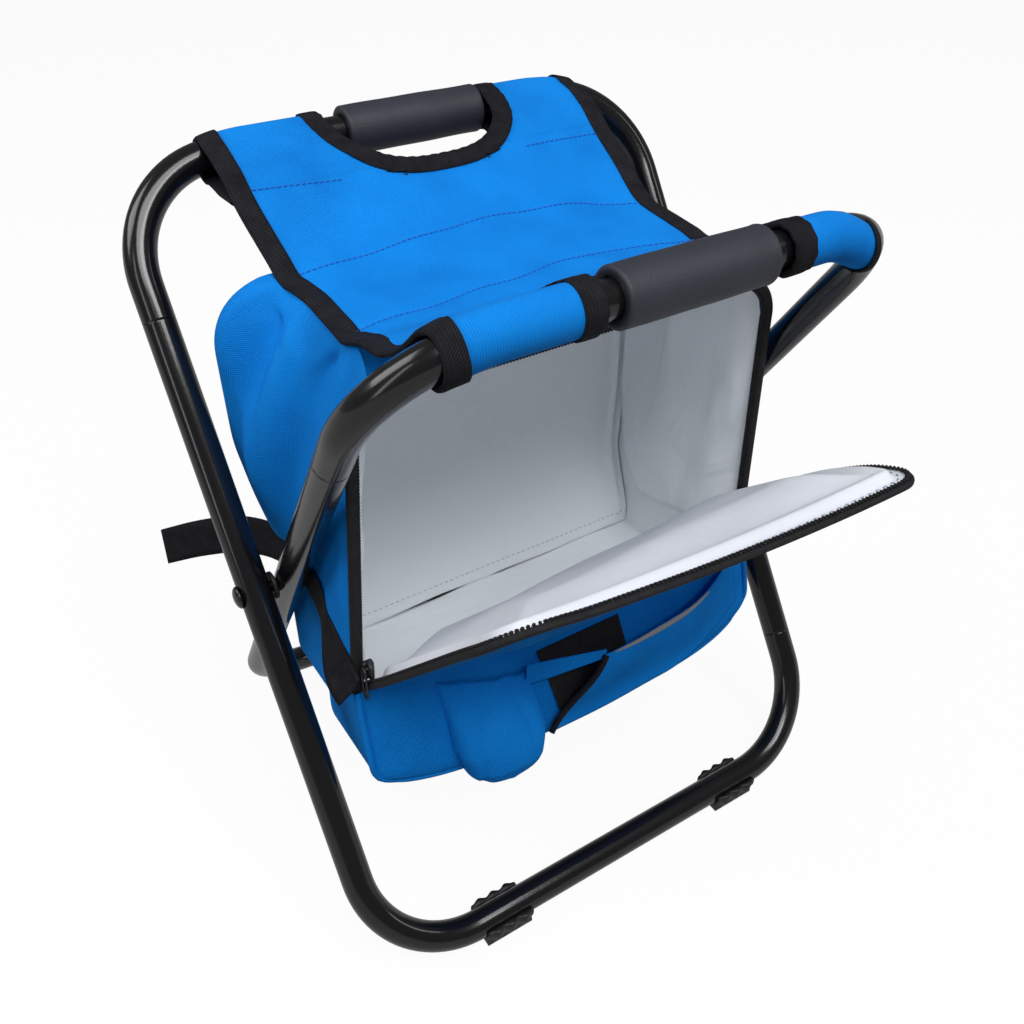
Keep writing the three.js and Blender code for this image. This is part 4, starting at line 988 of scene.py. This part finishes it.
# Body zip: woven black tape sewn over the cover's edge round the sides and the top of the opening.
# Small moulded teeth stand in a row along its inner edge.
zip_black, zip_shader = new_material("black_zip_tape", {"Roughness": 0.7, "Specular IOR Level": 0.3})
zip_ribs = ribs(zip_shader, 320.0, "X")
zip_lint = noise(zip_shader, 300.0, 3.0)
tint(zip_shader, zip_lint, (0.004, 0.004, 0.005), (0.020, 0.019, 0.021))
emboss(zip_shader, zip_ribs, 0.3, 0.0003)
TOOTH_REACH = np.array([-0.5, -0.42, 0.3, 0.5])
TOOTH_GIRTH = np.array([0.02, 1.0, 1.25, 0.02])


def zip_teeth(path, out, normal, pitch=1.9, long=2.6, fat=0.55):
    """Zip teeth: small bars square to the tape's edge, one every pitch."""
    run = run_along(path)
    at = np.arange(pitch, run[-1] - pitch, pitch)
    centre, out, normal = [sampled(values, run, at) for values in (path, out, normal)]
    return spindles(centre, unit(out), unit(normal), TOOTH_REACH * long, TOOTH_GIRTH * fat, 5)


opening_left = front_edge()[(bag_z >= SILL_Z - 1) & (rise <= 0.5)]
opening_path = np.concatenate([opening_left, roof_edge[1:-1], mirrored(opening_left)[::-1]])
opening_along = unit(np.gradient(opening_path, axis=0))
opening_out = np.array([0.0, -1.0, 0.0])
opening_in = unit(np.cross(opening_along, opening_out))
strip = np.array([(-2.4, -0.2), (-1.6, 0.9), (0.0, 1.3), (2.4, 1.2), (4.0, 0.4), (4.4, -2.2)])
body_tape = opening_path[:, None] + strip[None, :, :1] * opening_in[:, None]
body_tape = body_tape + strip[None, :, 1:] * opening_out
body_zip = build("woven_body_zip", [body_tape], zip_black, thickness=0.6, outwards=False)
fitted(body_zip, "seat_bag", "zip_tape", "body_zip_tape")
teeth_path = opening_path + 3.4 * opening_in + 1.0 * opening_out
teeth_up = np.repeat(opening_out[None], len(teeth_path), 0)
body_teeth = build("body_zip_teeth", zip_teeth(teeth_path, opening_in, teeth_up, long=2.0), zip_black)
fitted(body_teeth, "seat_bag", "zip_tape")

# Door: a foam board between the blue cover and the white film, hinged on the cloth at its lower
# edge. It has fallen open, its cover sags below, and a padded roll runs inside its stitched hem.
shaded_door_white, door_shader = new_material("shaded_white_door_film", {"Specular IOR Level": 0.35})
door_soft = noise(door_shader, 16.0, 4.0, distortion=0.5)
# The door's side of the film has a darker, bluer tone than the same film in the bag: painted shade and a
# painted blue cast of light.
tint(door_shader, door_soft, (0.75, 0.785, 0.86), (0.84, 0.87, 0.935))
roughen(door_shader, door_soft, 0.34, 0.5)
emboss(door_shader, door_soft, 0.4, 0.005)

DOOR_HALF, DOOR_CORNER, DOOR_SIDE, DOOR_LONG = 135.5, 0.09, 15.0, 168.0
DRAW_SIDE, DRAW_CORNER, DOOR_BOW, DOOR_BELLY = 10.0, 13.0, 6.0, 13.0
door_left = eased([(-62, 170), (-89, 197), (-127, 237), (-159, 271), (-186, 299)], 1.0, 30.0)
door_right = eased([
    (-62, 173), (-88, 211), (-110, 234), (-129, 252), (-148, 267), (-166, 278), (-186, 285)], 1.0, 30.0)


def along_line(line, share):
    """Points at shares of a line's length."""
    run = run_along(line)
    return sampled(line, run, share * run[-1])


def door_width(share):
    """Half width of the door: straight sides and two round corners at the free edge."""
    corner = np.clip((share - 1 + DOOR_CORNER) / DOOR_CORNER, 0, 1)
    return DOOR_HALF - DOOR_SIDE * (1 - np.sqrt(1 - corner ** 2))


def door_line(x, share):
    """The door's (y, z) at a place across: its left and right edge lines, mixed evenly."""
    share = np.clip(share, 0, 1)
    mix = smooth(-DOOR_HALF * 1.2, DOOR_HALF * 1.2, x)[..., None]
    return along_line(door_left, share) * (1 - mix) + along_line(door_right, share) * mix


def door_at(x, share):
    """Middle of the door at a place across and a share of its height, with its normal towards
    the inside. The left side draws in towards the free edge, more at its corner, so that the
    closed door stays within the bag's sides."""
    here = door_line(x, share)
    here[..., 1] -= DOOR_BOW * (1 - ((x - 15) / 150) ** 2) * share ** 2
    up = unit(door_line(x, share + 0.02) - door_line(x, share - 0.02))
    normal = np.stack([np.zeros_like(x), up[..., 1], -up[..., 0]], -1)
    drawn_in = DRAW_SIDE * smooth(0.15, 0.8, share) * smooth(0.0, -DOOR_HALF, x)
    drawn_in = drawn_in + DRAW_CORNER * smooth(0.84, 1.0, share) * smooth(-80.0, -DOOR_HALF, x)
    return np.concatenate([(x + drawn_in)[..., None], here], -1), normal


corner_rows = 1 - DOOR_CORNER + DOOR_CORNER * np.sin(np.linspace(0, np.pi / 2, 20))[1:]
door_rows = np.concatenate([np.linspace(0.005, 1 - DOOR_CORNER, 56), corner_rows])
door_wide = np.sin(np.linspace(-np.pi / 2, np.pi / 2, 141)) * 0.35 + np.linspace(-1, 1, 141) * 0.65
door_x = door_wide[None, :] * door_width(door_rows)[:, None]
door_share = np.broadcast_to(door_rows[:, None], door_x.shape)
door_mid, door_normal = door_at(door_x, door_share)
corner_x = np.clip(np.abs(door_x) - (DOOR_HALF - DOOR_SIDE), 0, None)
corner_y = np.clip((door_share - 1 + DOOR_CORNER) * DOOR_LONG, 0, None)
round_gap = DOOR_SIDE - np.hypot(corner_x, corner_y * DOOR_SIDE / (DOOR_CORNER * DOOR_LONG))
straight_gap = np.minimum(DOOR_HALF - np.abs(door_x), (1 - door_share) * DOOR_LONG)
edge_gap = np.where((corner_x > 0) & (corner_y > 0), round_gap, straight_gap)
from_hinge = smooth(0, 0.10, door_share)
roll = 5.0 * smooth(7.5, 11.5, edge_gap) - 1.6 * smooth(12.5, 16.5, edge_gap)
roll = roll + 8.5 * smooth(15, 52, edge_gap)
creases = 1.3 * np.sin(door_x / 31.0 + door_share * 5.0)
creases = creases * np.sin(door_share * 8.0 + door_x / 60.0 + 0.5)
door_pad = 1.2 + (roll + creases * smooth(16, 40, edge_gap)) * from_hinge
door_in = door_mid + door_pad[..., None] * door_normal
belly = DOOR_BELLY * smooth(-30, 100, door_x) * smooth(0.22, 0.55, door_share)
belly = belly * smooth(0.98, 0.55, door_share) * smooth(0, 22, edge_gap)
door_sag = 1.1 + 4.1 * smooth(2, 22, edge_gap) * from_hinge + belly
door_out = door_mid - door_sag[..., None] * door_normal
door_film = build("padded_door_lining", [door_in], shaded_door_white, thickness=0.5, outwards=False)
fitted(door_film, "door", "white_lining", "door_lining", "door_foam")
door_cloth = build("sewn_door_cover", [door_out], blue_cloth, thickness=0.8, outwards=False)
fitted(door_cloth, "door", "blue_cloth", "door_cover")
rim_left = np.stack([-door_width(door_rows), door_rows], -1)
rim_top = np.stack([np.linspace(-1, 1, 90)[1:-1] * door_width(1.0), np.ones(88)], -1)
rim = np.concatenate([rim_left, rim_top, rim_left[::-1] * [-1.0, 1.0]])
rim_path, rim_normal = door_at(rim[:, 0], rim[:, 1])
rim_along = unit(np.gradient(rim_path, axis=0))
rim_out = unit(np.cross(rim_along, rim_normal))
door_strip = np.array([
    (-0.6, 1.7), (0.3, 1.8), (1.2, 1.5), (1.8, 0.7), (1.9, -0.2), (1.6, -1.1), (0.7, -1.5),
    (-1.6, -1.5)])
door_tape = rim_path[:, None] + door_strip[None, :, :1] * rim_out[:, None]
door_tape = door_tape + door_strip[None, :, 1:] * rim_normal[:, None]
door_zip = build("woven_door_zip", [door_tape], zip_black, thickness=0.6, outwards=False)
fitted(door_zip, "door", "zip_tape", "door_zip_tape")
door_bite = rim_path - 0.9 * rim_out + 2.6 * rim_normal
door_bars = zip_teeth(door_bite, rim_out, rim_normal, pitch=2.6, long=3.4, fat=0.75)
door_teeth = build("door_zip_teeth", door_bars, zip_black)
fitted(door_teeth, "door", "zip_tape")
hem_path = rim_path - 5.6 * rim_out + 1.7 * rim_normal
hem_dashes = stitches(hem_path, rim_normal, pitch=5.6, long=2.6, wide=0.5, lift=0.15)
grey_thread = thread_finish("grey_hem_thread", 0.7, (0.20, 0.22, 0.27), (0.42, 0.44, 0.50))
door_thread = build("door_hem_stitching", hem_dashes, grey_thread)
fitted(door_thread, "door", "white_lining")

# Zip sliders and pulls: small black-enamelled castings at both ends of the zip. A bridge on each
# slider holds the pin of a hanging wire loop.
enamel, enamel_shader = new_material("black_enamel")
enamel_wear = noise(enamel_shader, 350.0, 4.0)
tint(enamel_shader, enamel_wear, (0.006, 0.006, 0.007), (0.03, 0.03, 0.033))
roughen(enamel_shader, enamel_wear, 0.22, 0.45)


def rounded_block(centre, half, power):
    """A block with soft corners: a ball whose sines and cosines are raised to a small power."""
    turn = np.linspace(-np.pi, np.pi, 41)[None, :]
    tilt = np.linspace(-np.pi / 2, np.pi / 2, 25)[:, None]
    waves = [np.cos(tilt), np.sin(tilt), np.cos(turn), np.sin(turn)]
    wide, high, right, front = [np.sign(wave) * np.abs(wave) ** power for wave in waves]
    return np.stack([wide * right, wide * front, high * np.ones_like(turn)], -1) * half + centre


PIN_Y, PIN_Z, SLIDER_X, PULL_X = -69.2, 191.1, 134.2, 138.2
PULL_HALF, PULL_WIRE = 2.6, 0.7
SLIDER_HALF = np.array([3.6, 1.7, 6.0])
SLIDER_Y, BRIDGE_R = -65.6, 1.0
PIN_REACH = (132.4, 132.6, 135.5, 138.6, 138.8)
PIN_GIRTH = PULL_WIRE * np.array([0.05, 1.0, 1.0, 1.0, 0.05])
arch = np.linspace(0, np.pi, 21)
bridge_path = np.stack([0 * arch, -66.6 - 5.6 * np.sin(arch), PIN_Z - 3.0 + 5.4 * np.cos(arch)], -1)
bend = np.stack([0 * arch, PULL_HALF * np.cos(arch), PULL_HALF * np.sin(arch)], -1)
pull_side = np.array([[0.0, PULL_HALF, -10.0]])
loop_path = np.concatenate([pull_side, bend + [0.0, 0.0, -1.6], [0.0, 0.0, -18.0] - bend, pull_side])
loop_path = eased(loop_path, 0.6, 0.6) + [0.0, PIN_Y, PIN_Z]
for hand, side in SIDES:
    aside = np.array([side * SLIDER_X, 0.0, 0.0])
    casting = rounded_block(np.array([0.0, SLIDER_Y, PIN_Z - 4.0]) + aside, SLIDER_HALF, 0.35)
    bridge = swept(bridge_path + aside, RIGHTWARDS, np.full(len(arch), BRIDGE_R), 12)
    slider = build(f"enamelled_slider_{hand}", [casting, bridge], enamel)
    fitted(slider, f"slider_{hand}", "zip_metal", f"zip_slider_{hand}")
    loop = loop_path + [side * PULL_X, 0.0, 0.0]
    wire = swept(loop, RIGHTWARDS, np.full(len(loop), PULL_WIRE), 10)
    pin_path = [(side * reach, PIN_Y, PIN_Z) for reach in PIN_REACH]
    pin = swept(pin_path, np.array([0.0, 0.0, 1.0]), PIN_GIRTH, 10)
    pull = build(f"wire_pull_{hand}", [wire, pin], enamel)
    fitted(pull, f"pull_{hand}", "zip_metal", f"zip_pull_{hand}")

# Piping: a thin cord covered in the blue cloth, sewn into the seam between the lower front panel
# and the bag's sides and floor.
PIPING_R = 1.9
panel_edge = np.concatenate([panel_left[::-1], lower_panel[0][1:-1], mirrored(panel_left)])
panel_edge = eased(panel_edge + [0.0, -1.2, 0.0], 1.5, 22.0)
cord = swept(panel_edge, np.array([0.0, 1.0, 0.25]), np.full(len(panel_edge), PIPING_R), 12)
piping = build("corded_panel_piping", [cord], blue_cloth)
fitted(piping, "seat_bag", "blue_cloth", "front_panel_piping")


# Bottle pocket: a bucket of blue cloth on the lower panel, full at its foot, with soft folds and
# a flat mouth drawn back to the panel.
def panel_y(x, z):
    """Distance of the lower front panel's outer face."""
    high = up_panel(z)
    return TOE_Y + (SILL_Y - TOE_Y) * high - panel_swell(x, z)


BOTTLE_MIDDLE, BOTTLE_HALF, BOTTLE_LOW, BOTTLE_HIGH = -68.0, 28.0, 100.0, 154.0
bottle_turn = np.linspace(0, np.pi, 81)[None, :]
bottle_high = np.linspace(0, 1, 44)[:, None]
bottle_lean = -5.0 * smooth(0.35, 0.0, bottle_high) * np.cos(bottle_turn)
bottle_wide = 0.80 + 0.20 * smooth(0, 0.4, bottle_high)
bottle_x = BOTTLE_MIDDLE - BOTTLE_HALF * np.cos(bottle_turn) * bottle_wide + bottle_lean * 0.4
bottle_z = BOTTLE_LOW + (BOTTLE_HIGH - BOTTLE_LOW) * bottle_high
bottle_z = bottle_z + 6.0 * np.cos(bottle_turn) ** 2 * (1 - bottle_high) ** 3
bottle_z = bottle_z + 6.0 * np.cos(bottle_turn) * bottle_high ** 2
bottle_depth = 14.0 + 7.0 * np.sin(np.pi * (0.1 + 0.8 * bottle_high)) - 10.0 * bottle_high ** 2.5
right_fold = np.exp(-((bottle_turn - 2.35 + 0.35 * bottle_high) / 0.16) ** 2)
left_fold = 0.8 * np.exp(-((bottle_turn - 0.75 - 0.3 * bottle_high) / 0.14) ** 2)
bottle_fold = right_fold * smooth(0.1, 0.5, bottle_high) + left_fold * smooth(0.9, 0.3, bottle_high)
bottle_slack = 1.2 * np.sin(bottle_turn * 3.0 + bottle_high * 2.0) * np.sin(bottle_turn)
bottle_slack = bottle_slack - 2.4 * bottle_fold
bottle_root = panel_y(bottle_x, bottle_z) + 1.0
bottle_y = bottle_root - (bottle_depth + bottle_slack) * np.sin(bottle_turn) ** 0.55
bottle_grid = np.stack(np.broadcast_arrays(bottle_x, bottle_y, bottle_z), -1)
bottle_base = ruled(bottle_grid[0][:41], bottle_grid[0][:39:-1], 18)
bottle_base[..., 2] -= 1.5 * np.sin(np.linspace(0, np.pi, 18))[None, :]
bottle_sheets = [bottle_grid, bottle_base]
bottle = build("sewn_bottle_pocket", bottle_sheets, blue_cloth, thickness=1.0, outwards=False)
fitted(bottle, "seat_bag", "blue_cloth", "bottle_pocket")

# Accessory pocket: a wide flap of blue cloth that gapes along its mouth and its slanted left edge,
# over a black cloth back. A band of the same cloth joins its corner to the bottle pocket.
flap_high = np.linspace(0, 1, 36)[:, None]
flap_wide = np.linspace(0, 1, 80)[None, :]
FLAP_LOW, FLAP_HIGH, FLAP_RIGHT = 109.0, 154.5, 128.0


def flap(left_low, left_high, right, gape):
    """A pocket layer: from a slanted left edge that stands off the panel to a sewn right edge, with
    its mouth held off the panel nearly all along."""
    left = left_low + (left_high - left_low) * flap_high
    x = left + (right - left) * flap_wide
    rise = 14.0 * smooth(0.55, 1.0, flap_wide) * (1 - flap_high)
    z = FLAP_LOW + (FLAP_HIGH - FLAP_LOW) * flap_high + rise
    stand = 1.6 + gape * (1 - flap_wide ** 2.6) * (0.10 + 0.90 * smooth(0.0, 1.1, flap_high))
    stand = stand + 0.12 * gape * np.sin(flap_wide * 9.0 + flap_high * 2.0) * flap_wide * (1 - flap_wide)
    return np.stack([x, panel_y(x, z) - stand, z], -1)


flap_grid = flap(-36.0, 2.0, FLAP_RIGHT, 25.0)
band_run = np.linspace(0, 1, 40)[None, :]
band_tall = np.linspace(-1.0, 1.0, 8)[:, None] * (6.5 - 4.0 * band_run)
band_x = -44.0 + 48.0 * band_run + 0.25 * band_tall
band_z = 149.0 + 4.5 * band_run + band_tall
band_y = panel_y(band_x, band_z) - 7.0 - 17.0 * band_run - 0.35 * band_tall
band = np.stack(np.broadcast_arrays(band_x, band_y, band_z), -1)
flap_sheets = [flap_grid, band]
flap_cloth = build("sewn_accessory_pocket", flap_sheets, blue_cloth, thickness=1.0, outwards=False)
fitted(flap_cloth, "seat_bag", "blue_cloth", "accessory_pocket")
flap_lower = flap(-24.0, -31.0, 30.0, 0.0)
flap_back = build("black_pocket_back", [flap_lower], zip_black, thickness=0.6, outwards=False)
fitted(flap_back, "seat_bag", "black_tape")
# Black tape folded over the flap's slanted left edge is painted shade: a dark strip that draws the shadow
# along that edge.
flap_into, flap_normal = edge_frame(flap_grid[:, 0], flap_grid[:, 1])
flap_shade_strip = folded_tape(flap_grid[:, 0], flap_into, flap_normal, 2.4)
flap_shade_piece = build("pocket_edge_painted_shade", [flap_shade_strip], tape, thickness=0.5, outwards=False)
fitted(flap_shade_piece, "seat_bag", "black_tape")

# Reflective strip: a narrow grey woven strip sewn along the mouth of the accessory pocket. It tapers
# to both ends and shines a little.
grey_strip, strip_shader = new_material("grey_reflective_strip", {"Metallic": 0.3, "Roughness": 0.4})
strip_ribs = ribs(strip_shader, 260.0, "X")
tint(strip_shader, strip_ribs, (0.22, 0.22, 0.23), (0.34, 0.34, 0.36))
mouth = flap_grid[-1, 4:58]
taper = (np.sin(np.linspace(0.25, np.pi - 0.35, len(mouth))) * 3.4)[:, None, None]
strip_down = taper * np.linspace(0, 1, 5)[None, :, None] * np.array([0.0, 0.3, 1.0])
strip_rows = mouth[:, None] + np.array([0.0, -0.9, 0.4]) - strip_down
strip_piece = build("reflective_mouth_strip", [strip_rows], grey_strip, thickness=0.4, outwards=False)
fitted(strip_piece, "seat_bag", "grey_tape", "reflective_strip")

# Side straps: 25 mm black webbing sewn to the front corner beside the sill, laid back along the
# bag under the inner leg, and ending in a loose tail behind the outer leg.
STRAP_ACROSS = np.linspace(-12.5, 12.5, 7)[None, :, None]
strap_line = eased([
    (-146, -71, 181), (-148, -60, 188), (-146, -45, 196), (-139.5, -22, 204), (-138, 0, 210),
    (-138, 14, 213)], 2.0, 16.0)
turned = smooth(30, 0, np.arange(len(strap_line)))[:, None]
lean = unit(np.array([0.0, -0.27, 1.0]) * (1 - turned) + np.array([0.62, -0.25, 0.74]) * turned)
strap_grid = strap_line[:, None] + STRAP_ACROSS * lean[:, None]
bag_side = -bag_half(strap_grid[..., 1], strap_grid[..., 2], -1.0)
strap_grid[..., 0] = np.minimum(strap_grid[..., 0], bag_side - 1.2)
tail_line = eased([
    (-138, 14, 213), (-141, 30, 213), (-149, 50, 209), (-159, 67, 203), (-175, 92, 189),
    (-190, 116, 173)], 2.0, 26.0)
tail_grid = tail_line[:, None] + STRAP_ACROSS * unit(np.array([0.05, 0.15, 1.0]))
for hand, side in SIDES:
    for piece_name, grid, node_name, long, held in (
            ("webbing_side_strap", strap_grid, "side_strap", 0.100, "laid"),
            ("webbing_strap_tail", tail_grid, "strap_tail", 0.125, "hung")):
        laid = grid if side < 0 else mirrored(grid)
        webbing = build(f"{piece_name}_{hand}", [laid], tape, thickness=1.3, outwards=False)
        fitted(webbing, "seat_bag", "black_webbing", f"{node_name}_{hand}")
